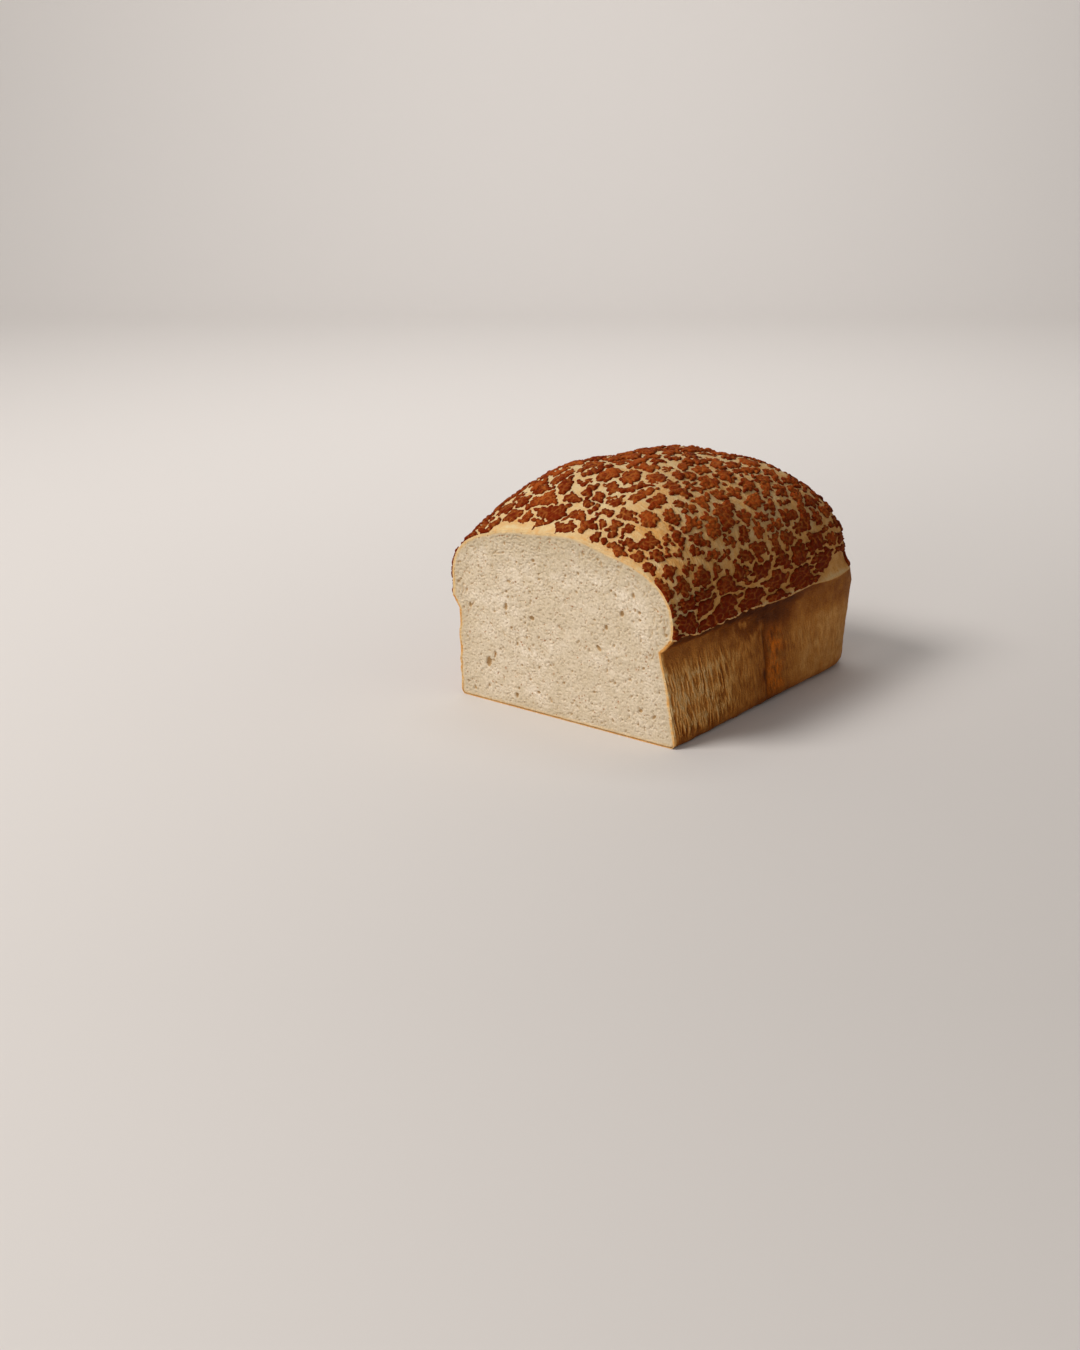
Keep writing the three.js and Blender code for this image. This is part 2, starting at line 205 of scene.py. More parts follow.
@dataclass(frozen=True)
class LoafForm:
    """The loaf's outer form, in millimetres, with the cut's base line at y = 0."""

    half_width: float = 69.0  # half the width of the tin wall at the base
    length: float = 180.0  # from the cut to the uncut end, at the base
    cap_depth: float = 58.5  # how far before the uncut end the sides start to close
    corner_power: float = 6.3  # squareness of the tin's outline
    edge_radius: tuple[float, float] = (2.6, 7.0)  # of the bottom edge, at the cut and at the far end
    edge_widens: Fade = Fade(0.0, 0.6)  # shares of the way between which it grows
    cut_lean: float = math.radians(4.2)
    lean_reach: float = 60.0  # along the loaf, until the lean has died out
    waist_height: float = 49.0
    lip_height: float = 56.0
    bulge_height: float = 65.0  # of the dome's widest level
    lip_wave: float = 0.7
    lip_turns: tuple[float, float] = (23.0, 2.0)  # of the wave, round the loaf and across it
    lip_rounding: float = 1.15
    left_form: Fade = Fade(0.0, 0.5)  # shares of the way between which the left's own form dies out
    base_out: tuple[float, float, float] = (0.8, 0.8, -2.4)  # at the cut, the far end, more at the left
    waist_out: tuple[float, float, float] = (-6.5, 5.0, 2.8)
    lip_out: tuple[float, float, float] = (0.5, 2.8, 0.1)
    bulge_out: tuple[float, float, float] = (1.3, -2.0, -1.6)
    wall_power: float = 1.3
    peak_height: float = 125.0
    peak_at: float = 56.0
    drop_to_cut: float = 26.2
    drop_to_end: float = 14.5
    dome_power: float = 2.15
    fuller_left: float = 0.22  # added to it on the left of the cut
    crown_power: float = 2.2
    lump_height: float = 0.7
    lump_fade: float = 30.0
    broad_lump: tuple[float, float] = (11.0, 14.0)
    fine_lump: tuple[float, float, float] = (6.5, 9.0, 0.6)  # across, along and its share
    lump_phase: tuple[float, float] = (1.0, 2.0)
    arc_steps: int = 200
    skin_lumps: tuple[Lumps, Lumps] = (Lumps(6.0, 27, 0.35), Lumps(2.2, 28, 0.16))
    lip_knobs: tuple[Lumps, Lumps] = (Lumps(4.4, 29), Lumps(2.0, 30, 0.6))
    knob_height: float = 1.2
    knob_rise: float = 0.8  # of the knobs' middle above the lip
    knob_reach: float = 3.4
    lip_sags: tuple[Lumps, Lumps] = (Lumps((8.0, 8.0, 60.0), 35), Lumps((3.4, 3.4, 60.0), 36, 0.5))
    sag_height: float = 1.1
    sag_reach: float = 4.5
    calmer_end: Fade = Fade(50.0, 120.0, 0.85)  # share that knobs and sags lose along the loaf

    @property
    def spine_length(self) -> float:
        """Length of the straight sides."""
        return self.length - self.cap_depth

    def place(self, y: Array, c: Array, s: Array) -> Place:
        """Names places by the spine's point y and the direction (c, s)."""
        on_cap = y >= self.spine_length - 1e-9
        return Place(y, c, s, np.where(on_cap, 0.5 + 0.5 * s, 0.5 * y / self.spine_length))

    def outline(self, place: Place, power: Array | float) -> Array:
        """Distance from the spine to a superellipse of the base's half sizes."""
        across = np.abs(place.c / self.half_width) ** power
        along = np.abs(place.s / self.cap_depth) ** power
        return (across + along) ** (-1.0 / power)

    def ridge_height(self, y: Array) -> Array:
        """Height of the ridge along the loaf."""
        before = np.maximum(0.0, (self.peak_at - y) / self.peak_at)
        after = np.maximum(0.0, (y - self.peak_at) / (self.length - self.peak_at))
        return self.peak_height - self.drop_to_cut * before**2 - self.drop_to_end * after**2

    def left_share(self, place: Place) -> Array:
        """How much places belong to the left of the cut, from 0 to 1."""
        return np.maximum(0.0, -place.c) * self.left_form.dies_out(place.share)

    def stand_out(self, level: tuple[float, float, float], place: Place) -> Array:
        """How far a level stands out, from its value at the cut to its value at the far end."""
        at_cut, at_end, more_left = level
        return lerp(at_cut, at_end, smoothstep(place.share, 0.0, 1.0)) + more_left * self.left_share(place)

    def lean_at(self, y: Array, height: Array) -> Array:
        """How far the cut's lean carries a point towards -Y."""
        return np.maximum(0.0, 1.0 - y / self.lean_reach) * math.tan(self.cut_lean) * height

    def point(self, place: Place, distance: Array, height: Array) -> Array:
        """The surface points at places, at a distance from the spine and a height.

        Args:
            place: The places round the loaf.
            distance: Distances from the spine.
            height: Heights.

        Returns:
            The points.
        """
        x = distance * place.c
        y = place.y + distance * place.s
        over_wall = smoothstep(height, self.bulge_height, self.bulge_height + self.lump_fade)
        across, along = self.lump_phase
        broad = np.sin(x / self.broad_lump[0] + across) * np.sin(y / self.broad_lump[1] + along)
        fine = self.fine_lump[2] * np.sin(x / self.fine_lump[0] - y / self.fine_lump[1])
        z = height + self.lump_height * over_wall * (broad + fine)
        return np.stack(np.broadcast_arrays(x, y - self.lean_at(y, z), z), axis=-1)

    def bottom_radius(self, place: Place) -> Array:
        """Radius of the bottom edge: sharper along the sides than at the far end."""
        return lerp(*self.edge_radius, self.edge_widens.sets_in(place.share))

    def foot(self, place: Place) -> Array:
        """Distance from the spine to the border of the flat base."""
        out = self.stand_out(self.base_out, place) - self.bottom_radius(place)
        return self.outline(place, self.corner_power) + out

    def base(self, place: Place, part: float) -> Array:
        """Points of the flat base, part running from 0 at the spine to 1 at the bottom edge."""
        distance = self.foot(place) * part
        return self.point(place, distance, np.zeros_like(distance))

    def edge(self, place: Place, angle: float) -> Array:
        """Points of the rounded bottom edge, from 0 at the base to 90 degrees at the wall."""
        radius = self.bottom_radius(place)
        distance = self.foot(place) + radius * math.sin(angle)
        return self.point(place, distance, radius * (1.0 - math.cos(angle)))

    def wall(self, place: Place, part: float) -> Array:
        """Points of the tin wall, part running from 0 at the bottom edge to 1 at the waist."""
        base, waist = self.stand_out(self.base_out, place), self.stand_out(self.waist_out, place)
        out = lerp(base, waist, part**self.wall_power)
        height = lerp(self.bottom_radius(place), self.waist_height, part)
        return self.point(place, self.outline(place, self.corner_power) + out, height)

    def lip_line(self, place: Place) -> Array:
        """Height of the lip at places: it wanders a little."""
        round_it, across = self.lip_turns
        return self.lip_height + self.lip_wave * np.sin(round_it * place.share + across * place.c)

    def undercut(self, place: Place, part: float) -> Array:
        """Points under the overhang, part running from 0 at the waist to 1 at the lip."""
        waist = self.stand_out(self.waist_out, place)
        out = lerp(waist, self.stand_out(self.lip_out, place), part)
        height = lerp(self.waist_height, self.lip_line(place), part**self.lip_rounding)
        return self.point(place, self.outline(place, self.corner_power) + out, height)

    def lip(self, place: Place, part: Array | float) -> Array:
        """Points between the lip (part 0) and the dome's widest level (part 1)."""
        swell = np.sin(part * math.pi / 2.0)
        out = lerp(self.stand_out(self.lip_out, place), self.stand_out(self.bulge_out, place), swell)
        height = lerp(self.lip_line(place), self.bulge_height, part)
        return self.point(place, self.outline(place, self.corner_power) + out, height)

    def dome(self, place: Place, angle: Array | float) -> Array:
        """Points of the dome, from 0 at its widest level to 90 degrees at the ridge.

        Args:
            place: The places round the loaf.
            angle: From 0 at the widest level to 90 degrees at the ridge.

        Returns:
            The points.
        """
        roundness = self.dome_power + self.fuller_left * self.left_share(place)
        inward = np.abs(np.cos(angle)) ** (2.0 / roundness)
        upward = np.abs(np.sin(angle)) ** (2.0 / roundness)
        power = lerp(self.crown_power, self.corner_power, inward)
        square = self.outline(place, self.corner_power)
        bulge = (square + self.stand_out(self.bulge_out, place)) / square
        distance = self.outline(place, power) * bulge * inward
        top = self.ridge_height(place.y + distance * place.s)
        return self.point(place, distance, lerp(self.bulge_height, top, upward))

    @cached_property
    def arc(self) -> tuple[Array, Array]:
        """Lengths down the dome from the ridge, and the dome's angle at each of them."""
        angles = np.linspace(math.pi / 2.0, 0.0, self.arc_steps + 1)
        ones = np.ones_like(angles)
        points = self.dome(self.place(self.peak_at * ones, ones, 0.0 * ones), angles)
        steps = np.linalg.norm(np.diff(points, axis=0), axis=1)
        return np.concatenate([[0.0], np.cumsum(steps)]), angles

    @property
    def dome_arc(self) -> float:
        """Length down the dome from the ridge to its widest level."""
        return float(self.arc[0][-1])

    @property
    def reach(self) -> float:
        """Length down the crust from the ridge to the lip."""
        return self.dome_arc + self.bulge_height - self.lip_height

    def crust(self, u: Array, v: Array) -> Array:
        """The surface points over points of the crust's plan, which is the crust laid out flat.

        Args:
            u: Ways down from the ridge, to the left and to the right.
            v: Ways along the spine, and past its end round it.

        Returns:
            Points of the dome and the lip.
        """
        along = np.maximum(0.0, v - self.spine_length)
        down = np.hypot(u, along)
        safe = np.where(down > 0.0, down, 1.0)
        c = np.where(down > 0.0, u / safe, 1.0)
        place = self.place(np.minimum(v, self.spine_length), c, np.where(down > 0.0, along / safe, 0.0))
        lengths, angles = self.arc
        on_dome = self.dome(place, np.interp(down, lengths, angles))
        part = np.clip((self.reach - down) / (self.reach - self.dome_arc), 0.0, 1.0)
        return np.where((down >= self.dome_arc)[..., None], self.lip(place, part), on_dome)

    def crust_normal(self, u: Array, v: Array, step: float = 0.4) -> Array:
        """The outward normals of the crust over points of its plan."""
        across = self.crust(u + step, v) - self.crust(u - step, v)
        along = self.crust(u, v + step) - self.crust(u, v - step)
        normal = np.cross(across, along)
        return normal / np.linalg.norm(normal, axis=-1, keepdims=True)

    def roughened(self, points: Array, normals: Array) -> Array:
        """Makes points of the plain dome or lip uneven, as the baked skin is.

        Args:
            points: Points as rows of three numbers.
            normals: Their outward normals.

        Returns:
            The moved points.
        """
        z = points[:, 2]
        fade = 1.0 - self.calmer_end.sets_in(points[:, 1])
        knobs = heaped(self.lip_knobs, points) * bump(z, self.lip_height + self.knob_rise, self.knob_reach)
        out = heaped(self.skin_lumps, points) + self.knob_height * fade * knobs
        rough = points + normals * out[:, None]
        sags = heaped(self.lip_sags, points) * bump(z, self.lip_height, self.sag_reach)
        rough[:, 2] += self.sag_height * fade * sags
        return rough

    def plan_point(self, down: Array | float, share: Array) -> tuple[Array, Array]:
        """The plan's point at a way down from the ridge and a share of the way round.

        Args:
            down: Way down from the ridge.
            share: Share of the way round.

        Returns:
            Its u and v.
        """
        round_way = math.pi * down
        travel = share * (2.0 * self.spine_length + round_way)
        angle = math.pi - (travel - self.spine_length) / down
        on_left = travel < self.spine_length
        on_right = travel > self.spine_length + round_way
        u = np.where(on_left, -down, np.where(on_right, down, down * np.cos(angle)))
        back = 2.0 * self.spine_length + round_way - travel
        turning = self.spine_length + down * np.sin(angle)
        return u, np.where(on_left, travel, np.where(on_right, back, turning))


# ---- Meshes ----------------------------------------------------------------------------------------


def add_object(name: str, data: bpy.types.ID) -> bpy.types.Object:
    """Makes an object of a mesh, lamp or camera, and links it to the scene."""
    made = bpy.data.objects.new(name, data)
    bpy.context.scene.collection.objects.link(made)
    return made


@dataclass
class Sheet:
    """Points, faces and measures of a mesh that is being made, in the form's millimetres."""

    points: Array
    faces: list[tuple[int, ...]]
    measures: dict[str, Array] = field(default_factory=dict)

    def build(self, name: str, shift: Array, sharp: float | None = None) -> bpy.types.Object:
        """Makes the object, with its measures as point attributes.

        Args:
            name: The piece's name.
            shift: What takes the form's millimetres to the part's, in millimetres.
            sharp: Edges that turn by more than this angle are drawn sharp.

        Returns:
            The object, linked to the scene.
        """
        mesh = bpy.data.meshes.new(name)
        mesh.from_pydata(((self.points + shift) * MM).tolist(), [], self.faces)
        mesh.shade_smooth()
        if sharp is not None:
            mesh.set_sharp_from_angle(angle=sharp)
        for title, values in self.measures.items():
            attribute = mesh.attributes.new(title, "FLOAT", "POINT")
            attribute.data.foreach_set("value", np.asarray(values, np.float32))
        return add_object(name, mesh)


def run_lengths(line: Array) -> Array:
    """The way from a line's first point to each of its points."""
    steps = np.linalg.norm(np.diff(line, axis=0), axis=1)
    return np.concatenate([[0.0], np.cumsum(steps)])


def grid_faces(kept: Array) -> tuple[Array, Array]:
    """Numbers the corners that kept cells of a regular grid use.

    Args:
        kept: For each cell of the grid whether it is kept, as (rows, columns).

    Returns:
        The used corners' places in the grid as rows of (row, column), and the cells as rows of four
        corner numbers, turning from rows to columns.
    """
    rows, columns = np.nonzero(kept)
    turns = ((0, 0), (1, 0), (1, 1), (0, 1))
    width = kept.shape[1] + 1
    flat = np.stack([(rows + down) * width + columns + across for down, across in turns], axis=1)
    used, quads = np.unique(flat, return_inverse=True)
    return np.stack([used // width, used % width], axis=1), quads.reshape(-1, 4)


def part_touching_corners(kept: Array, most_rounds: int = 6) -> Array:
    """Takes out cells of a grid that meet another kept cell at a corner only."""
    kept = kept.copy()
    for _ in range(most_rounds):
        a, b = kept[:-1, :-1], kept[1:, 1:]
        c, d = kept[1:, :-1], kept[:-1, 1:]
        falling = a & b & ~c & ~d
        rising = c & d & ~a & ~b
        if not (falling.any() or rising.any()):
            break
        kept[:-1, :-1] &= ~falling
        kept[1:, :-1] &= ~rising
    return kept


def border_edges(quads: Array) -> Array:
    """The edges of quads that no second quad shares, in their quad's own direction.

    Args:
        quads: Rows of four point numbers.

    Returns:
        Rows of two point numbers.
    """
    edges = np.concatenate([quads[:, [k, (k + 1) % 4]] for k in range(4)])
    ordered = np.sort(edges, axis=1)
    keys = ordered[:, 0] * (quads.max() + 1) + ordered[:, 1]
    _, first, counts = np.unique(keys, return_index=True, return_counts=True)
    return edges[first[counts == 1]]


def island_labels(quads: Array, count: int) -> Array:
    """Numbers each point by the lowest point that quads join it to."""
    labels = np.arange(count)
    while True:
        lowest = labels[quads].min(axis=1)
        updated = labels.copy()
        for k in range(4):
            np.minimum.at(updated, quads[:, k], lowest)
        updated = updated[updated]
        if (updated == labels).all():
            return labels
        labels = updated


def point_normals(points: Array, quads: Array) -> Array:
    """Normals of points, from the quads round them.

    Args:
        points: Points as rows of three numbers.
        quads: Rows of four point numbers.

    Returns:
        One unit normal for each point.
    """
    diagonal_a = points[quads[:, 2]] - points[quads[:, 0]]
    diagonal_b = points[quads[:, 3]] - points[quads[:, 1]]
    facing = np.cross(diagonal_a, diagonal_b)
    normals = np.zeros_like(points)
    for k in range(4):
        np.add.at(normals, quads[:, k], facing)
    return normals / np.maximum(np.linalg.norm(normals, axis=1, keepdims=True), 1e-12)


# ---- The crust body --------------------------------------------------------------------------------


class Band(Enum):
    """The bands of the crust, from the middle of the base up to the ridge."""

    BASE = 0
    EDGE = 1
    WALL = 2
    UNDERCUT = 3
    LIP = 4
    DOME = 5


@dataclass(frozen=True)
class SkinPlaces:
    """Points of the plain skin, the band of each, and its way along the side from the cut."""

    points: Array
    bands: Array
    along: Array

    @property
    def z(self) -> Array:
        """Heights of the points."""
        return self.points[:, 2]

    @property
    def on_wall(self) -> Array:
        """Whether each point belongs to the tin wall or the bottom edge."""
        return (self.bands == Band.WALL.value) | (self.bands == Band.EDGE.value)


@dataclass(frozen=True)
class WallRelief:
    """Relief of the tin wall: upright wrinkles near the cut, pocks, and one crease further along."""

    wrinkle_height: float = 0.75
    wrinkle_reach: Fade = Fade(30.0, 78.0)  # ways from the cut between which they die out
    far_share: float = 0.24  # of them that stays beyond
    above_foot: Fade = Fade(1.0, 8.0)
    below_waist: Fade = Fade(34.0, 46.0)
    patches: Lumps = Lumps(11.0, 24, 0.5)
    patch_mean: float = 0.7
    drift: Lumps = Lumps(8.0, 21, 0.9)
    slant: float = 0.12
    walls_apart: float = 400.0  # so that the two walls differ
    fine: Lumps = Lumps((2.0, 11.0, 1.0), 22)
    wide: Lumps = Lumps((3.2, 10.0, 1.0), 23, 0.25)
    crest_steepness: float = 5.0
    valley: float = -0.3
    pocks: Lumps = Lumps((1.2, 1.2, 2.2), 25)
    pock_rarity: float = 0.4
    pock_depth: float = 0.4
    pocks_above: Fade = Fade(6.0, 14.0)
    crease_at: float = 85.0  # from the cut, at this height:
    crease_height: float = 25.0
    crease_slant: float = 0.1
    crease_bend: Lumps = Lumps(10.0, 26, 1.6)
    groove: Hump = Hump(0.0, 1.3, 0.75)
    hollow_starts: Fade = Fade(-1.0, 1.0, 0.5)  # past the crease
    hollow_ends: Fade = Fade(14.0, 30.0)
    crease_foot: Fade = Fade(2.0, 10.0)
    crease_top: Fade = Fade(38.0, 48.0)

    def share(self, at: SkinPlaces) -> Array:
        """How strong the upright wrinkles are, from 0 to 1."""
        near_cut = self.wrinkle_reach.dies_out(at.along)
        patchy = np.clip(self.patch_mean + self.patches.at(at.points), 0.0, 1.0)
        upright = self.above_foot.sets_in(at.z) * self.below_waist.dies_out(at.z)
        return lerp(self.far_share, 1.0, near_cut) * patchy * upright

    def wrinkles(self, at: SkinPlaces) -> Array:
        """Height of the wrinkles, less the depth of the pocks.

        Args:
            at: The skin's places.

        Returns:
            Millimetres outwards.
        """
        other_wall = np.sign(at.points[:, 0]) * self.walls_apart
        across = at.along + self.slant * at.z + self.drift.at(at.points) + other_wall
        slanted = np.stack([across, at.z, np.zeros_like(at.z)], axis=1)
        crests = np.maximum(self.valley, 1.0 - self.crest_steepness * np.abs(self.fine.at(slanted)))
        height = self.wrinkle_height * self.share(at) * (crests + self.wide.at(slanted))
        pocks = np.maximum(0.0, self.pocks.at(at.points) - self.pock_rarity)
        return height - self.pock_depth * pocks * self.pocks_above.sets_in(at.z)

    def crease(self, at: SkinPlaces) -> Array:
        """Depth of the upright crease and of the hollow strip past it.

        Args:
            at: The skin's places.

        Returns:
            Millimetres inwards.
        """
        bend = self.crease_slant * (self.crease_height - at.z) + self.crease_bend.at(at.points)
        past = at.along - (self.crease_at + bend)
        hollow = self.hollow_starts.sets_in(past) * self.hollow_ends.dies_out(past)
        reach = self.crease_foot.sets_in(at.z) * self.crease_top.dies_out(at.z)
        return (self.groove.at(past) + hollow) * reach


@dataclass(frozen=True)
class SkinTones:
    """How far the skin is baked, with painted shade and highlight, from 0 pale to 1 dark, and how amber it
    is.

    Fades and humps run along the side from the cut where they aren't said to be heights.
    """

    broad: Lumps = Lumps(24.0, 31)
    middle: Lumps = Lumps(8.0, 32)
    wall_mean: float = 0.6
    wall_uneven: float = 0.06
    wall_least: float = 0.24
    paler_end: Fade = Fade(102.0, 125.0, 0.15)
    # painted shade under the overhang, at the top of the wall
    wall_top_shade: Fade = Fade(34.0, 47.0, 0.2)  # heights
    darker_foot: Fade = Fade(0.0, 9.0, 0.1)  # heights
    paler_by_cut: Fade = Fade(20.0, 75.0, 0.14)
    paler_above: Fade = Fade(4.0, 14.0)  # heights
    # painted highlight on the wrinkles' crests and painted shade in their valleys and pocks
    crest_highlight_and_shade: float = 0.65
    past_crease: Hump = Hump(92.0, 14.0, 0.12)
    # painted shade in the crease
    crease_shade: Hump = Hump(86.0, 1.8, 0.3)
    crease_bend: float = 3.0
    crease_height: Hump = Hump(20.0, 16.0)
    dust: tuple[Lumps, Lumps] = (Lumps(5.0, 39), Lumps(1.8, 40, 0.6))
    dust_thickens: Fade = Fade(0.1, 0.7)  # values of the lumps
    dust_along: Hump = Hump(72.0, 15.0)
    dust_height: Hump = Hump(45.0, 9.0)
    dust_tone: tuple[float, float] = (0.2, 0.6)  # and its share
    dome_mean: float = 0.09
    dome_uneven: tuple[float, float] = (0.07, 0.08)  # by the broad and the middle lumps
    dome_fine: Lumps = Lumps(2.6, 43, 0.09)
    browner_low: Fade = Fade(2.0, 48.0, 0.17)  # heights above the lip
    browner_beyond: Fade = Fade(0.0, 40.0)
    browner_right: Fade = Fade(0.0, 45.0, 0.12)  # across the loaf
    browner_band: Fade = Fade(2.5, 9.0, 0.06)
    # painted shade under the overhang: its darkest tone and how uneven it is
    overhang: tuple[float, float] = (0.97, 0.08)  # tone under it, and how uneven
    overhang_along: Fade = Fade(90.0, 150.0)
    overhang_clear: float = 2.0  # it is darkest this far below the lip
    base: tuple[float, float] = (0.72, 0.06)
    lip_line: tuple[float, float] = (0.12, 0.85)  # pale line along the lip: tone and share
    lip_line_bend: Lumps = Lumps(4.0, 34, 0.8)
    lip_line_rise: float = 0.5
    lip_line_width: float = 1.3
    patch: Hump = Hump(94.0, 7.0)  # the caramel patch
    patch_bend: Lumps = Lumps(7.0, 33, 3.5)
    patch_foot: Fade = Fade(2.0, 8.0)  # heights
    patch_top: Fade = Fade(30.0, 46.0)  # heights
    patch_mean: float = 0.65
    patch_broken: tuple[Lumps, Lumps] = (Lumps((2.4, 2.4, 5.0), 37, 2.0), Lumps(1.2, 42))
    amber_foot: Fade = Fade(1.0, 14.0, 0.12)  # heights
    amber_beyond: Fade = Fade(20.0, 60.0)
    cut_edge: Fade = Fade(0.5, 3.0, 0.75)
    cut_edge_tone: float = 0.06
    cut_edge_uneven: Lumps = Lumps(2.4, 38, 0.3)

    def wall(self, at: SkinPlaces, relief: WallRelief) -> Array:
        """How far the tin wall is baked, with painted shade and highlight on it.

        Args:
            at: The skin's places.
            relief: The wall's relief.

        Returns:
            One tone for each point.
        """
        middle = self.middle.at(at.points)
        tone = self.wall_mean + self.wall_uneven * (self.broad.at(at.points) + middle)
        # painted shade under the overhang at the wall's top; darker towards the foot
        tone += self.wall_top_shade.sets_in(at.z) + self.darker_foot.dies_out(at.z)
        tone -= self.paler_end.sets_in(at.along)
        tone -= self.paler_by_cut.dies_out(at.along) * self.paler_above.sets_in(at.z)
        # painted highlight on the crests, painted shade in the valleys and pocks
        tone -= self.crest_highlight_and_shade * relief.wrinkles(at)
        tone = np.maximum(tone, self.wall_least) + self.past_crease.at(at.along)
        # painted shade in the crease
        tone += self.crease_shade.at(at.along + self.crease_bend * middle) * self.crease_height.at(at.z)
        dusty = self.dust_thickens.sets_in(heaped(self.dust, at.points))
        dusty = dusty * self.dust_along.at(at.along) * self.dust_height.at(at.z)
        dust_tone, dust_share = self.dust_tone
        return lerp(tone, dust_tone, dust_share * dusty)

    def dome(self, at: SkinPlaces, lip: float) -> Array:
        """How far the dome and the lip are baked.

        Args:
            at: The skin's places.
            lip: Height of the lip.

        Returns:
            One tone for each point.
        """
        by_broad, by_middle = self.dome_uneven
        tone = self.dome_mean + by_broad * self.broad.at(at.points) + by_middle * self.middle.at(at.points)
        tone += self.dome_fine.at(at.points)
        tone += self.browner_low.dies_out(at.z - lip) * self.browner_beyond.sets_in(at.along)
        return tone + self.browner_right.sets_in(at.points[:, 0]) + self.browner_band.dies_out(at.along)

    def painted_shade_under_lip(self, at: SkinPlaces, wall: Array, waist: float, lip: float) -> Array:
        """Painted shade under the overhang: the skin darkens from the wall's tone to the lip."""
        tone, uneven = self.overhang
        # painted shade, full near the cut and close under the lip
        deep = self.overhang_along.dies_out(at.along) * smoothstep(at.z, waist, lip - self.overhang_clear)
        return lerp(wall, tone + uneven * self.middle.at(at.points), deep)

    def baked(self, at: SkinPlaces, form: LoafForm, relief: WallRelief) -> Array:
        """How far each point is baked, from 0 to 1, with painted shade and highlight added.

        Args:
            at: The skin's places.
            form: The loaf's form.
            relief: The wall's relief.

        Returns:
            One tone for each point.
        """
        lip = form.lip_height
        wall = self.wall(at, relief)
        tone = np.where(at.bands >= Band.LIP.value, self.dome(at, lip), wall)
        # painted shade under the overhang
        under = self.painted_shade_under_lip(at, wall, form.waist_height, lip)
        tone = np.where(at.bands == Band.UNDERCUT.value, under, tone)
        base, uneven = self.base
        tone = np.where(at.bands == Band.BASE.value, base + uneven * self.middle.at(at.points), tone)
        line_tone, line_share = self.lip_line
        line_height = lip + self.lip_line_rise + self.lip_line_bend.at(at.points)
        line = bump(at.z, line_height, self.lip_line_width) * (at.bands >= Band.LIP.value)
        tone = lerp(tone, line_tone, line_share * line)
        edge_tone = self.cut_edge_tone + np.abs(self.cut_edge_uneven.at(at.points))
        return np.clip(lerp(tone, edge_tone, self.cut_edge.dies_out(at.along)), 0.0, 1.0)

    def amber(self, at: SkinPlaces) -> Array:
        """How amber each point is, from 0 to 1: in a broken patch of the wall and a little at its foot.

        Args:
            at: The skin's places.

        Returns:
            One value for each point.
        """
        patch = self.patch.at(at.along + self.patch_bend.at(at.points))
        patch = patch * self.patch_foot.sets_in(at.z) * self.patch_top.dies_out(at.z)
        patch = patch * np.clip(self.patch_mean + heaped(self.patch_broken, at.points), 0.0, 1.0)
        foot = self.amber_foot.dies_out(at.z) * self.amber_beyond.sets_in(at.along)
        return np.where(at.bands < Band.UNDERCUT.value, np.clip(np.maximum(patch, foot), 0.0, 1.0), 0.0)


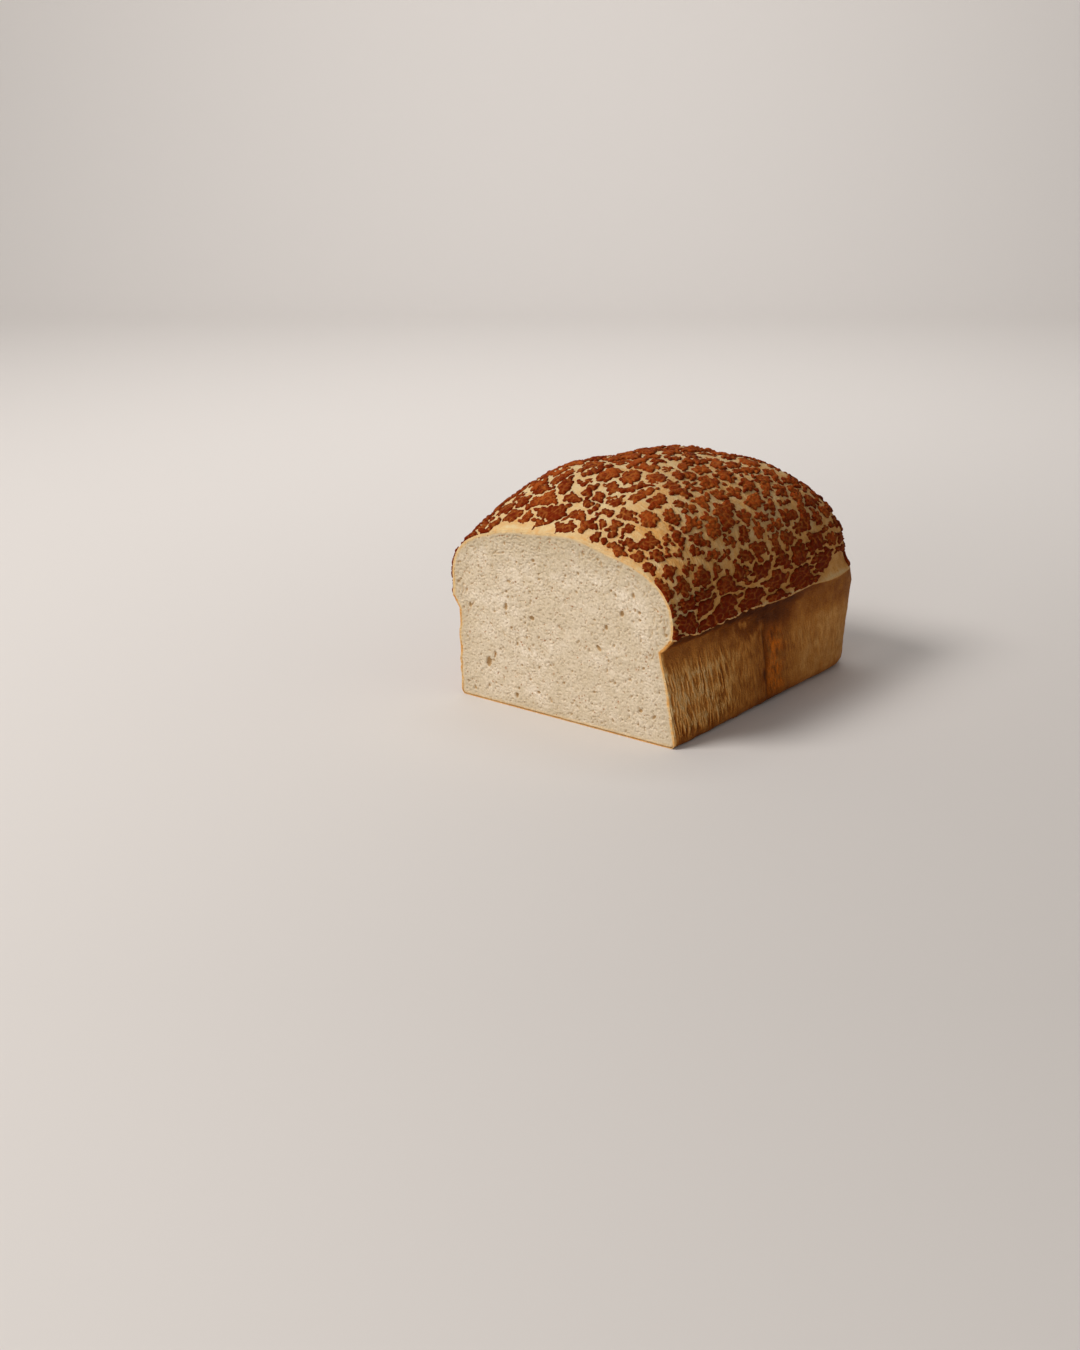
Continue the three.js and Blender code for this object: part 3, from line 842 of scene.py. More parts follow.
@dataclass
class CrustBody:
    """Skin of the dome, lip, tin wall and base, as one closed body with a recess in the cut."""

    form: LoafForm
    relief: WallRelief = WallRelief()
    tones: SkinTones = SkinTones()
    near_pitch: float = 0.33  # between stations near the cut
    far_pitch: float = 0.72  # and further along and round the end
    pitch_grows: Fade = Fade(45.0, 95.0)
    cap_samples: int = 4001
    base_levels: int = 4
    base_spread: float = 0.6  # below 1 the base's levels crowd towards its border
    edge_levels: int = 4
    wall_levels: int = 30
    undercut_parts: tuple[float, ...] = (0.0, 0.2, 0.4, 0.6, 0.8, 0.93)
    lip_levels: int = 8
    dome_levels: int = 56
    measured_level: int = 10  # the wall's level along which the way from the cut is measured
    dome_streaks: float = 0.3
    rim_width: float = 1.1  # crust that shows in the cut
    rim_uneven: Lumps = Lumps(3.0, 41, 0.45)
    rim_foot: Fade = Fade(0.2, 5.0)  # heights between which it widens, from this share:
    rim_foot_share: float = 0.4
    recess_depth: float = 5.0  # behind the crumb
    sharp_from: float = math.radians(48.0)

    @cached_property
    def stations(self) -> Place:
        """Stations from the left side of the cut round the far end to its right side."""
        form = self.form
        side = self.side_line
        angles = np.linspace(math.pi, 0.0, self.cap_samples)
        turning = form.place(np.full_like(angles, form.spine_length), np.cos(angles), np.sin(angles))
        reached = run_lengths(form.wall(turning, 0.5))
        cap_count = round(reached[-1] / self.far_pitch)
        spread = np.interp(np.linspace(0.0, reached[-1], cap_count + 1), reached, angles)
        y = np.concatenate([side, np.full(cap_count + 1, form.spine_length), side[::-1]])
        ones = np.ones(len(side))
        c = np.concatenate([-ones, np.cos(spread), ones])
        s = np.concatenate([0.0 * ones, np.maximum(0.0, np.sin(spread)), 0.0 * ones])
        return form.place(y, c, s)

    @cached_property
    def side_line(self) -> Array:
        """Where the stations of a straight side are: close together near the cut."""
        reach, steps = self.form.spine_length, [0.0]
        while steps[-1] < reach:
            pitch = lerp(self.near_pitch, self.far_pitch, self.pitch_grows.sets_in(steps[-1]))
            steps.append(steps[-1] + float(pitch))
        return np.array(steps[:-1]) * reach / steps[-1]

    def levels(self) -> tuple[Array, Array]:
        """All points of the body by level and station, and the band of each level.

        Returns:
            Rows of points, and one band for each row.
        """
        form, place = self.form, self.stations
        rows, bands = [], []

        def add(band: Band, row: Array) -> None:
            """Adds one level."""
            rows.append(row)
            bands.append(band.value)

        for i in range(self.base_levels):
            add(Band.BASE, form.base(place, (i / self.base_levels) ** self.base_spread))
        for i in range(self.edge_levels):
            add(Band.EDGE, form.edge(place, math.pi / 2.0 * i / self.edge_levels))
        for i in range(self.wall_levels):
            add(Band.WALL, form.wall(place, i / self.wall_levels))
        for part in self.undercut_parts:
            add(Band.UNDERCUT, form.undercut(place, part))
        for i in range(self.lip_levels):
            add(Band.LIP, form.lip(place, i / self.lip_levels))
        lengths, angles = form.arc
        for i in range(self.dome_levels + 1):
            down = form.dome_arc * (1.0 - i / self.dome_levels)
            add(Band.DOME, form.dome(place, float(np.interp(down, lengths, angles))))
        return np.array(rows), np.array(bands)

    def numbering(self, level_count: int) -> Array:
        """Point numbers by level and station: the two sides share the base's and the ridge's middle.

        Args:
            level_count: How many levels there are.

        Returns:
            The numbers.
        """
        station_count = len(self.stations.y)
        order = np.arange(station_count)
        shared = np.minimum(np.minimum(order, station_count - 1 - order), len(self.side_line))
        numbers = np.zeros((level_count, station_count), int)
        numbers[0] = shared
        inner = np.arange((level_count - 2) * station_count).reshape(-1, station_count)
        numbers[1:-1] = inner + shared.max() + 1
        numbers[-1] = shared + numbers[-2].max() + 1
        return numbers

    @cached_property
    def skin(self) -> tuple[Array, Array, dict[str, Array], Array]:
        """Points with their relief, quads, the measures of the skin, and the point numbers."""
        rows, row_bands = self.levels()
        numbers = self.numbering(len(rows))
        count = numbers.max() + 1
        points = np.zeros((count, 3))
        bands = np.zeros(count, int)
        along = np.zeros(count)
        travel = run_lengths(rows[self.measured_level])
        from_cut = np.minimum(travel, travel[-1] - travel)
        for number, row, band in zip(numbers, rows, row_bands):
            points[number] = row
            bands[number] = band
            along[number] = from_cut
        quads = np.stack([numbers[:-1, :-1], numbers[1:, :-1], numbers[1:, 1:], numbers[:-1, 1:]], -1)
        quads = quads.reshape(-1, 4)
        at = SkinPlaces(points, bands, along)
        normals = point_normals(points, quads)
        on_cut = np.unique(numbers[:, [0, -1]])
        normals[on_cut, 1] = 0.0
        normals[on_cut] /= np.linalg.norm(normals[on_cut], axis=1, keepdims=True)
        out = self.relief.wrinkles(at) + heaped(self.form.skin_lumps, points) - self.relief.crease(at)
        raised = points + normals * np.where(at.on_wall, out, 0.0)[:, None]
        above = bands >= Band.UNDERCUT.value
        raised[above] = self.form.roughened(points[above], normals[above])
        raised[on_cut, 1] = -self.form.lean_at(np.zeros(len(on_cut)), raised[on_cut, 2])
        raised[:, 2] = np.maximum(raised[:, 2], 0.0)
        streaks = np.where(at.on_wall, self.relief.share(at), self.dome_streaks * (bands >= Band.LIP.value))
        measures = {
            # baked tone, with the painted shade and highlight of the wall and the lip
            "baked": self.tones.baked(at, self.form, self.relief),
            "amber": self.tones.amber(at),
            "upright": streaks,
            "along": along * MM,
        }
        return raised, quads, measures, numbers

    @cached_property
    def cut_loop(self) -> Array:
        """Numbers of the points round the cut, clockwise as seen from the front."""
        numbers = self.skin[3]
        return np.concatenate([numbers[:, 0], numbers[-2:0:-1, -1]])

    def inset(self, width: Array | float) -> Array:
        """The cut's outline drawn in by a width, as rows of (x, z)."""
        line = self.skin[0][self.cut_loop][:, [0, 2]]
        ahead = np.roll(line, -1, axis=0) - np.roll(line, 1, axis=0)
        ahead /= np.linalg.norm(ahead, axis=1, keepdims=True)
        return line + np.stack([ahead[:, 1], -ahead[:, 0]], axis=1) * np.asarray(width).reshape(-1, 1)

    def build(self, shift: Array) -> bpy.types.Object:
        """Makes the closed body.

        Args:
            shift: What takes the form's millimetres to the part's.

        Returns:
            The piece.
        """
        points, quads, measures, _ = self.skin
        loop = self.cut_loop
        count = len(loop)
        outline = points[loop]
        width = self.rim_width * (1.0 + self.rim_uneven.at(outline))
        width *= lerp(self.rim_foot_share, 1.0, self.rim_foot.sets_in(outline[:, 2]))
        drawn_in = self.inset(width)
        rim_y = -self.form.lean_at(np.zeros(count), drawn_in[:, 1])
        rim = np.stack([drawn_in[:, 0], rim_y, drawn_in[:, 1]], axis=1)
        deep = rim + (0.0, self.recess_depth, 0.0)
        first_rim = len(points)
        inner = first_rim + np.arange(count)
        behind = inner + count
        faces = [tuple(dict.fromkeys(quad)) for quad in quads.tolist()]
        for near, far in ((loop, inner), (inner, behind)):
            strip = np.stack([near, far, np.roll(far, -1), np.roll(near, -1)], axis=1)
            faces += [tuple(quad) for quad in strip.tolist()]
        faces.append(tuple(behind[::-1].tolist()))
        carried = {name: np.concatenate([own, own[loop], own[loop]]) for name, own in measures.items()}
        sheet = Sheet(np.concatenate([points, rim, deep]), faces, carried)
        return sheet.build("crust_body", shift, sharp=self.sharp_from)


# ---- The crumb -------------------------------------------------------------------------------------


@dataclass(frozen=True)
class PoreSort:
    """One sort of pores: how many are tried, their radii, how much longer than wide they are, and how
    far inside the crust and how high they may lie."""

    count: int
    least: float
    most: float
    stretch: tuple[float, float] = (1.0, 1.45)
    inside: tuple[float, float] = (0.0, 99.0)
    above: float = 0.0


@dataclass
class Crumb:
    """The crumb that the cut shows: a slab with open pores, set in the crust's recess."""

    crust: CrustBody
    grid: float = 0.4  # distance between points
    hidden_border: float = 0.55  # the slab starts this far inside the outline
    slab_depth: float = 4.2
    uneven: float = 0.21
    lumps: tuple[Lumps, ...] = (Lumps(1.5, 51), Lumps(0.8, 52, 0.7), Lumps(9.0, 53, 1.3))
    sunk: float = 0.1  # behind the plane of the cut
    most_out: float = -0.35  # and no point further out than this
    pores: tuple[PoreSort, ...] = (
        PoreSort(6500, 0.28, 0.55),
        PoreSort(560, 0.4, 0.85),
        PoreSort(20, 0.8, 1.3, (1.0, 2.0)),
        PoreSort(2100, 0.32, 0.62, (2.0, 4.4), (1.5, 13.0), 44.0),
    )
    marked_pores: tuple[tuple[float, float, float, float], ...] = (
        (-47.5, 22.0, 1.7, 1.8),
        (-43.0, 27.0, 0.9, 2.6),
        (-34.0, 55.0, 1.2, 2.0),
        (40.0, 65.0, 1.3, 1.4),
        (30.0, 56.0, 1.2, 1.3),
    )  # large ones: x, z, radius and how much longer, upright
    marked_turn: float = 1.4
    pore_depth: float = 1.2  # of its radius
    swirl_height: float = 40.0  # pores lie round this height of the middle
    swirl_stray: float = 0.5
    pores_from_rim: Fade = Fade(1.4, 3.0)
    greyer_rim: Fade = Fade(1.0, 9.0)
    baked_rim: tuple[float, float] = (0.8, 2.4)  # from the outline, and how far in, with lumps:
    baked_lumps: Lumps = Lumps(3.0, 54)

    def clearance(self, x: Array, z: Array) -> Array:
        """How far points of the cut lie inside its outline, negative outside it.

        Args:
            x: Places across.
            z: Places up.

        Returns:
            Millimetres for each point.
        """
        line = self.crust.skin[0][self.crust.cut_loop][:, [0, 2]]
        after = np.roll(line, -1, axis=0)
        spots = np.stack([x.ravel(), z.ravel()], axis=1)
        distance = np.full(len(spots), np.inf)
        inside = np.zeros(len(spots), bool)
        for a, b in zip(line, after):
            way = b - a
            if not way.any():
                continue
            part = np.clip((spots - a) @ way / (way @ way), 0.0, 1.0)
            gap = spots - a - part[:, None] * way
            distance = np.minimum(distance, gap[:, 0] ** 2 + gap[:, 1] ** 2)
            if a[1] != b[1]:
                crosses = (spots[:, 1] >= min(a[1], b[1])) & (spots[:, 1] < max(a[1], b[1]))
                at = a[0] + (spots[:, 1] - a[1]) * (way[0] / way[1])
                inside ^= crosses & (spots[:, 0] < at)
        return np.where(inside, 1.0, -1.0).reshape(x.shape) * np.sqrt(distance).reshape(x.shape)

    def pore_field(self, x: Array, z: Array, clear: Array) -> Array:
        """Depth of the pores over the grid.

        Args:
            x: Places across.
            z: Places up.
            clear: How far they lie inside the outline.

        Returns:
            Millimetres for each point.
        """
        depth = np.zeros_like(x)
        picks = np.random.default_rng(SEED)
        for sort in self.pores:
            across = picks.uniform(x.min(), x.max(), sort.count)
            up = picks.uniform(z.min(), z.max(), sort.count)
            radius = lerp(sort.least, sort.most, picks.random(sort.count) ** 2)
            long = lerp(*sort.stretch, picks.random(sort.count))
            stray = picks.normal(0.0, self.swirl_stray, sort.count)
            turn = np.arctan2(up - self.swirl_height, across) + stray + math.pi / 2.0
            rows = np.clip(((across - x[0, 0]) / self.grid).astype(int), 0, x.shape[0] - 1)
            columns = np.clip(((up - z[0, 0]) / self.grid).astype(int), 0, x.shape[1] - 1)
            here = clear[rows, columns]
            allowed = (here > sort.inside[0]) & (here < sort.inside[1]) & (up > sort.above)
            for i in np.nonzero(allowed)[0]:
                self.stamp(depth, x, z, (across[i], up[i]), radius[i], long[i], turn[i])
        for cx, cz, r, ratio in self.marked_pores:
            self.stamp(depth, x, z, (cx, cz), r, ratio, self.marked_turn)
        return depth * self.pores_from_rim.sets_in(clear)

    def stamp(
        self,
        depth: Array,
        x: Array,
        z: Array,
        middle: tuple[float, float],
        radius: float,
        ratio: float,
        turn: float,
    ) -> None:
        """Sinks one pore into the grid of depths.

        Args:
            depth: The depths, which are changed.
            x: The grid's places across.
            z: The grid's places up.
            middle: The pore's middle.
            radius: Half its width.
            ratio: How much longer than wide it is.
            turn: Which way it is long.
        """
        half = radius * ratio
        i0, i1 = (int((middle[0] + d - x[0, 0]) / self.grid) for d in (-half, half))
        j0, j1 = (int((middle[1] + d - z[0, 0]) / self.grid) for d in (-half, half))
        window = (slice(max(0, i0), max(0, i1 + 2)), slice(max(0, j0), max(0, j1 + 2)))
        dx, dz = x[window] - middle[0], z[window] - middle[1]
        lengthwise = (dx * math.cos(turn) + dz * math.sin(turn)) / half
        sideways = (dz * math.cos(turn) - dx * math.sin(turn)) / radius
        pit = np.sqrt(np.maximum(0.0, 1.0 - lengthwise**2 - sideways**2)) * radius * self.pore_depth
        depth[window] = np.maximum(depth[window], pit)

    def on_plane(self, x: Array, z: Array, behind: Array | float) -> Array:
        """Points so far behind the plane of the cut."""
        return np.stack([x, -self.crust.form.lean_at(0.0 * x, z) + behind, z], axis=1)

    def build(self, shift: Array) -> bpy.types.Object:
        """Makes the closed slab.

        Args:
            shift: What takes the form's millimetres to the part's.

        Returns:
            The piece.
        """
        outline = self.crust.skin[0][self.crust.cut_loop]
        low, high = outline.min(axis=0), outline.max(axis=0)
        ticks = [np.arange(low[axis], high[axis] + self.grid, self.grid) for axis in (0, 2)]
        x, z = np.meshgrid(*ticks, indexing="ij")
        clear = self.clearance(x, z)
        near = clear > self.hidden_border
        kept = near[:-1, :-1] & near[1:, :-1] & near[:-1, 1:] & near[1:, 1:]
        used, quads = grid_faces(part_touching_corners(kept))
        spot = (used[:, 0], used[:, 1])
        flat = np.stack([x.ravel(), np.zeros(x.size), z.ravel()], axis=1)
        pores = self.pore_field(x, z, clear)
        sink = self.uneven * heaped(self.lumps, flat).reshape(x.shape) + pores + self.sunk
        front = self.on_plane(x[spot], z[spot], np.maximum(sink, self.most_out)[spot])
        following = dict(border_edges(quads).tolist())
        loop = [next(iter(following))]
        while following[loop[-1]] != loop[0]:
            loop.append(following[loop[-1]])
        back_number = {number: len(front) + i for i, number in enumerate(loop)}
        back = self.on_plane(front[loop][:, 0], front[loop][:, 2], self.slab_depth)
        faces = [tuple(quad) for quad in quads.tolist()]
        for a, b in zip(loop, loop[1:] + loop[:1]):
            faces.append((b, a, back_number[a], back_number[b]))
        faces.append(tuple(back_number[number] for number in reversed(loop)))
        baked_from, baked_to = self.baked_rim
        baked_end = baked_to + self.baked_lumps.at(flat).reshape(x.shape)[spot]
        behind = np.ones(len(loop))
        measures = {
            # depth of the pores, which sets the painted shade in them
            "pore": np.concatenate([pores[spot], 0.0 * behind]),
            "near_rim": np.concatenate([self.greyer_rim.dies_out(clear[spot]), behind]),
            "baked_side": np.concatenate([1.0 - smoothstep(clear[spot], baked_from, baked_end), behind]),
            "crumb_height": np.concatenate([z[spot] / high[2], back[:, 2] / high[2]]),
        }
        return Sheet(np.concatenate([front, back]), faces, measures).build("crumb_face", shift)


# ---- The paste plates ------------------------------------------------------------------------------


class Lot(IntEnum):
    """What the random number of a pair of cells, or of clusters, decides."""

    CRACK = 4
    JOINED = 5
    SPREAD = 9
    CELL_RISE = 83
    CELL_TONE = 84
    CLUSTER_TONE = 85
    CLUSTER_RISE = 86


@dataclass(frozen=True)
class SeedRows:
    """Jittered points in rows round the loaf: the usual distance between two, how far one strays as a
    share of it, and the salt that tells them from others."""

    pitch: float
    stray: float
    salt: int


@dataclass(frozen=True)
class BareBand:
    """A bare band along the cut: its width, and where across the loaf it starts and ends."""

    width: float
    start: Fade
    end: Fade

    def at(self, across: Array) -> Array:
        """Its width at places across the loaf."""
        return self.width * (self.start.sets_in(across) * self.end.dies_out(across))


@dataclass
class PastePattern:
    """Where the rice paste cracked: small cells that stay together in clusters, which are about as
    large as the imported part's plates. The borders of a cluster open wide, and those inside it little
    or not at all. The paste is looser near the cut, with small plates far apart, and snugger towards
    the lip and the end, where many clusters stay joined."""

    form: LoafForm
    cluster_rows: SeedRows = SeedRows(9.6, 0.36, 0)
    cell_rows: SeedRows = SeedRows(3.1, 0.42, 10)
    row_spacing: float = 0.88  # of the pitch
    row_offsets: tuple[float, float] = (0.8, 0.3)  # of the first point, in even and odd rows
    row_samples: int = 121
    near_lip: Fade = Fade(84.0, 66.0)  # heights
    dropped_share: float = 0.12  # of the clusters, so that others grow larger
    dropped_lot: tuple[int, int] = (3, 5)
    cluster_blur: float = 0.35
    neighbours: int = 9
    bends: tuple[Lumps, Lumps] = (Lumps(4.0, 60, 0.9), Lumps(1.6, 63, 0.4))
    wide_crack: tuple[float, float] = (0.62, 0.76)  # half its width, where loose and where snug
    crack_waver: Lumps = Lumps(7.0, 66, 0.6)
    wider_low: Fade = Fade(62.0, 80.0, 0.45)  # heights
    crack_spread: tuple[float, float] = (0.5, 0.9)  # least share of the width, and how much more
    gaping_crack: float = 0.55  # added to the widest cracks
    gaping_from: float = 0.84
    notch: tuple[float, float] = (0.44, 0.5)  # half its width at a plate's edge, and how fast it closes
    no_notch: float = -1.5
    closed_share: tuple[float, float] = (0.36, 0.58)  # of the borders in a cluster that have no notch
    joined_share: tuple[float, float] = (0.03, 0.07)  # of the borders between clusters
    out_of_reach: float = 9.0  # stands for the distance to a border that stays shut
    corner_softness: float = 0.28
    softened: float = 8.0  # beyond this, the distance to an edge counts as this
    rough_edge: tuple[Lumps, Lumps] = (Lumps(1.1, 68, 0.26), Lumps(0.7, 69, 0.18))
    least_spread: float = 0.5
    vein_width: float = 0.42
    snugger_along: Fade = Fade(8.0, 55.0, 0.6)
    snugger_low: Fade = Fade(60.0, 100.0, 0.45)  # heights
    snug_waver: Lumps = Lumps(15.0, 65, 0.35)
    bare_bands: tuple[BareBand, BareBand] = (
        BareBand(4.6, Fade(-46.0, -41.0), Fade(-8.0, 1.0)),
        BareBand(2.4, Fade(-8.0, -2.0), Fade(56.0, 64.0)),
    )
    band_bend: Lumps = Lumps(9.0, 71, 3.0)
    band_waver: Lumps = Lumps(5.0, 72, 1.2)
    band_slope: float = 1.6
    band_limit: float = 16.0  # it never reaches further from the cut
    gaps: Lumps = Lumps(9.0, 73)
    gap_rarity: float = 0.66
    gap_slope: float = 6.0
    bare_spots: tuple[tuple[float, float, float, float], ...] = ((70.0, 157.0, 59.0, 12.5),)  # and radius
    spot_shape: tuple[float, float, float] = (1.0, 1.0, 0.7)
    spot_slope: float = 2.0
    spot_edge: Lumps = Lumps(4.0, 75, 1.2)
    spot_depth: float = 4.0
    lip_margin: float = 0.5  # between the paste and the lip
    lip_waver: Lumps = Lumps(5.0, 74)
    lip_slope: float = 1.5
    bare_depth: float = 3.0
    lip_stretch: tuple[float, float, float] = (76.0, 0.7, 0.4)  # below this height, by these shares
    lengthwise: tuple[float, float, float] = (18.0, 150.0, 0.34)  # plates are longer between these

    def __post_init__(self) -> None:
        """Lays out the clusters and cells."""
        _, stretch, cell_stretch = self.lip_stretch
        clusters = self.seeds(self.cluster_rows, stretch)
        clusters = clusters[[draw(i, *self.dropped_lot) >= self.dropped_share for i in range(len(clusters))]]
        cells = self.seeds(self.cell_rows, cell_stretch)
        self.cell_points = self.stretched(self.form.crust(cells[:, 0], cells[:, 1]))
        self.cell_tree = self.tree_of(self.cell_points)
        cluster_tree = self.tree_of(self.stretched(self.form.crust(clusters[:, 0], clusters[:, 1])))
        blur = np.random.default_rng(SEED).normal(0.0, self.cluster_blur, self.cell_points.shape)
        self.cluster_of = np.array([cluster_tree.find(tuple(point))[1] for point in self.cell_points + blur])

    def stretched(self, points: Array) -> Array:
        """Points pushed together lengthwise, and drawn out downwards near the lip, so that the plates
        that are nearest to a seed among them come out long.

        Args:
            points: Points as rows of three numbers.

        Returns:
            The moved points.
        """
        below, share, _ = self.lip_stretch
        start, end, squeeze = self.lengthwise
        moved = points.copy()
        moved[:, 1] -= squeeze * (np.clip(points[:, 1], start, end) - start)
        moved[:, 2] -= share * np.maximum(0.0, below - points[:, 2])
        return moved

    def seeds(self, rows: SeedRows, longer: float) -> Array:
        """Evenly spread, jittered points of the plan, in rows that run round the loaf.

        Args:
            rows: How they are spread.
            longer: Share by which the distance along a row grows towards the lip.

        Returns:
            Rows of (u, v).
        """
        form = self.form
        row_count = round(form.reach / (rows.pitch * self.row_spacing))
        row_pitch = form.reach / row_count
        samples = np.linspace(0.0, 1.0, self.row_samples)
        seeds = []
        for row in range(row_count):
            down = (row + 0.5) * row_pitch
            line = form.crust(*form.plan_point(down, samples))
            reached = run_lengths(self.stretched(line))
            near_lip = float(self.near_lip.sets_in(line[:, 2].mean()))
            wanted = max(1, round(reached[-1] / (rows.pitch * (1.0 + longer * near_lip))))
            goals = reached[-1] * (np.arange(wanted) + self.row_offsets[row % 2]) / wanted
            u, v = form.plan_point(down, np.interp(goals, reached, samples))
            for i in range(wanted):
                strays = [2.0 * draw(row, i, rows.salt + k) - 1.0 for k in (1, 2)]
                du, dv = (stray * rows.stray * rows.pitch for stray in strays)
                seeds.append((u[i] + du, v[i] + dv))
        return np.array(seeds)

    @staticmethod
    def tree_of(points: Array) -> KDTree:
        """A search tree over points."""
        tree = KDTree(len(points))
        for i, point in enumerate(points.tolist()):
            tree.insert(point, i)
        tree.balance()
        return tree

    def inside(self, u: Array, v: Array) -> tuple[Array, Array, Array]:
        """How far points of the plan lie inside a plate.

        Args:
            u: Ways down from the ridge.
            v: Ways along the spine.

        Returns:
            About the distance to the plate's edge, negative in a crack, the number of the cell, and
            how near the point is to a closed border, from 0 to 1.
        """
        points = self.form.crust(u, v)
        bent = self.stretched(points)
        for bend in self.bends:
            for axis in range(3):
                bent[:, axis] += bend.at(points, axis)
        found = [self.cell_tree.find_n(point, self.neighbours) for point in bent.tolist()]
        cell = np.array([[hit[1] for hit in hits] for hits in found])
        near = np.array([[hit[2] for hit in hits] for hits in found])
        own = self.cell_points[cell[:, 0]]
        own_cluster = self.cluster_of[cell[:, 0]]
        snug = self.snugness(points, v)
        width = lerp(*self.wide_crack, snug) * (1.0 + self.crack_waver.at(points))
        width *= 1.0 + self.wider_low.dies_out(points[:, 2])
        joined = lerp(*self.joined_share, snug)
        closed = lerp(*self.closed_share, snug)
        gaps, together = [], []
        for k in range(1, self.neighbours):
            apart = np.linalg.norm(self.cell_points[cell[:, k]] - own, axis=1)
            gaps.append((near[:, k] ** 2 - near[:, 0] ** 2) / (2.0 * np.maximum(apart, 1e-6)))
            cluster = self.cluster_of[cell[:, k]]
            together.append((cluster == own_cluster) | (pair_draw(cluster, own_cluster, Lot.JOINED) < joined))
        to_border = np.min(np.where(together, self.out_of_reach, gaps), axis=0)
        total = np.zeros(len(points))
        vein = np.zeros(len(points))
        least_width, more_width = self.crack_spread
        for k, (gap, same) in enumerate(zip(gaps, together), start=1):
            chance = pair_draw(cell[:, 0], cell[:, k], Lot.CRACK)
            spread = self.least_spread + pair_draw(cell[:, 0], cell[:, k], Lot.SPREAD)
            notched = self.notch[0] * spread - self.notch[1] * to_border
            narrow = np.where(chance < closed, self.no_notch, notched)
            gaping = np.where(chance > self.gaping_from, self.gaping_crack, 0.0)
            wide = width * (least_width + more_width * chance) + gaping
            edge = np.clip(gap - np.where(same, narrow, wide), -self.softened, self.softened)
            total += np.exp(-edge / self.corner_softness)
            vein = np.maximum(vein, same * (spread - self.least_spread) * bump(gap, 0.0, self.vein_width))
        depth = -self.corner_softness * np.log(total)
        depth += heaped(self.rough_edge, points)
        return depth - self.bareness(points, u, v), cell[:, 0], vein

    def snugness(self, points: Array, v: Array) -> Array:
        """How snug the paste's plates lie, from 0 near the cut to 1 towards the lip and the end."""
        snug = self.snugger_along.sets_in(v) + self.snugger_low.dies_out(points[:, 2])
        return np.clip(snug + self.snug_waver.at(points), 0.0, 1.0)

    def bareness(self, points: Array, u: Array, v: Array) -> Array:
        """What keeps the plates off the pale band at the cut, a few bare spots and the lip.

        Args:
            points: Points as rows of three numbers.
            u: Ways down from the ridge.
            v: Ways along the spine.

        Returns:
            What is taken from each point's depth in its plate.
        """
        across = points[:, 0] + self.band_bend.at(points)
        width = sum(band.at(across) for band in self.bare_bands) + self.band_waver.at(points)
        bare = np.clip(self.band_slope * (width - v), 0.0, self.bare_depth) * (v < self.band_limit)
        bare += np.clip(self.gap_slope * (self.gaps.at(points) - self.gap_rarity), 0.0, self.bare_depth)
        for *middle, radius in self.bare_spots:
            inside = radius - np.linalg.norm((points - middle) / self.spot_shape, axis=1)
            bare += np.clip(self.spot_slope * inside + self.spot_edge.at(points), 0.0, self.spot_depth)
        down = np.hypot(u, np.maximum(0.0, v - self.form.spine_length))
        lip = self.form.reach - self.lip_margin - self.lip_waver.at(points)
        return bare + np.clip(self.lip_slope * (down - lip), 0.0, self.bare_depth)


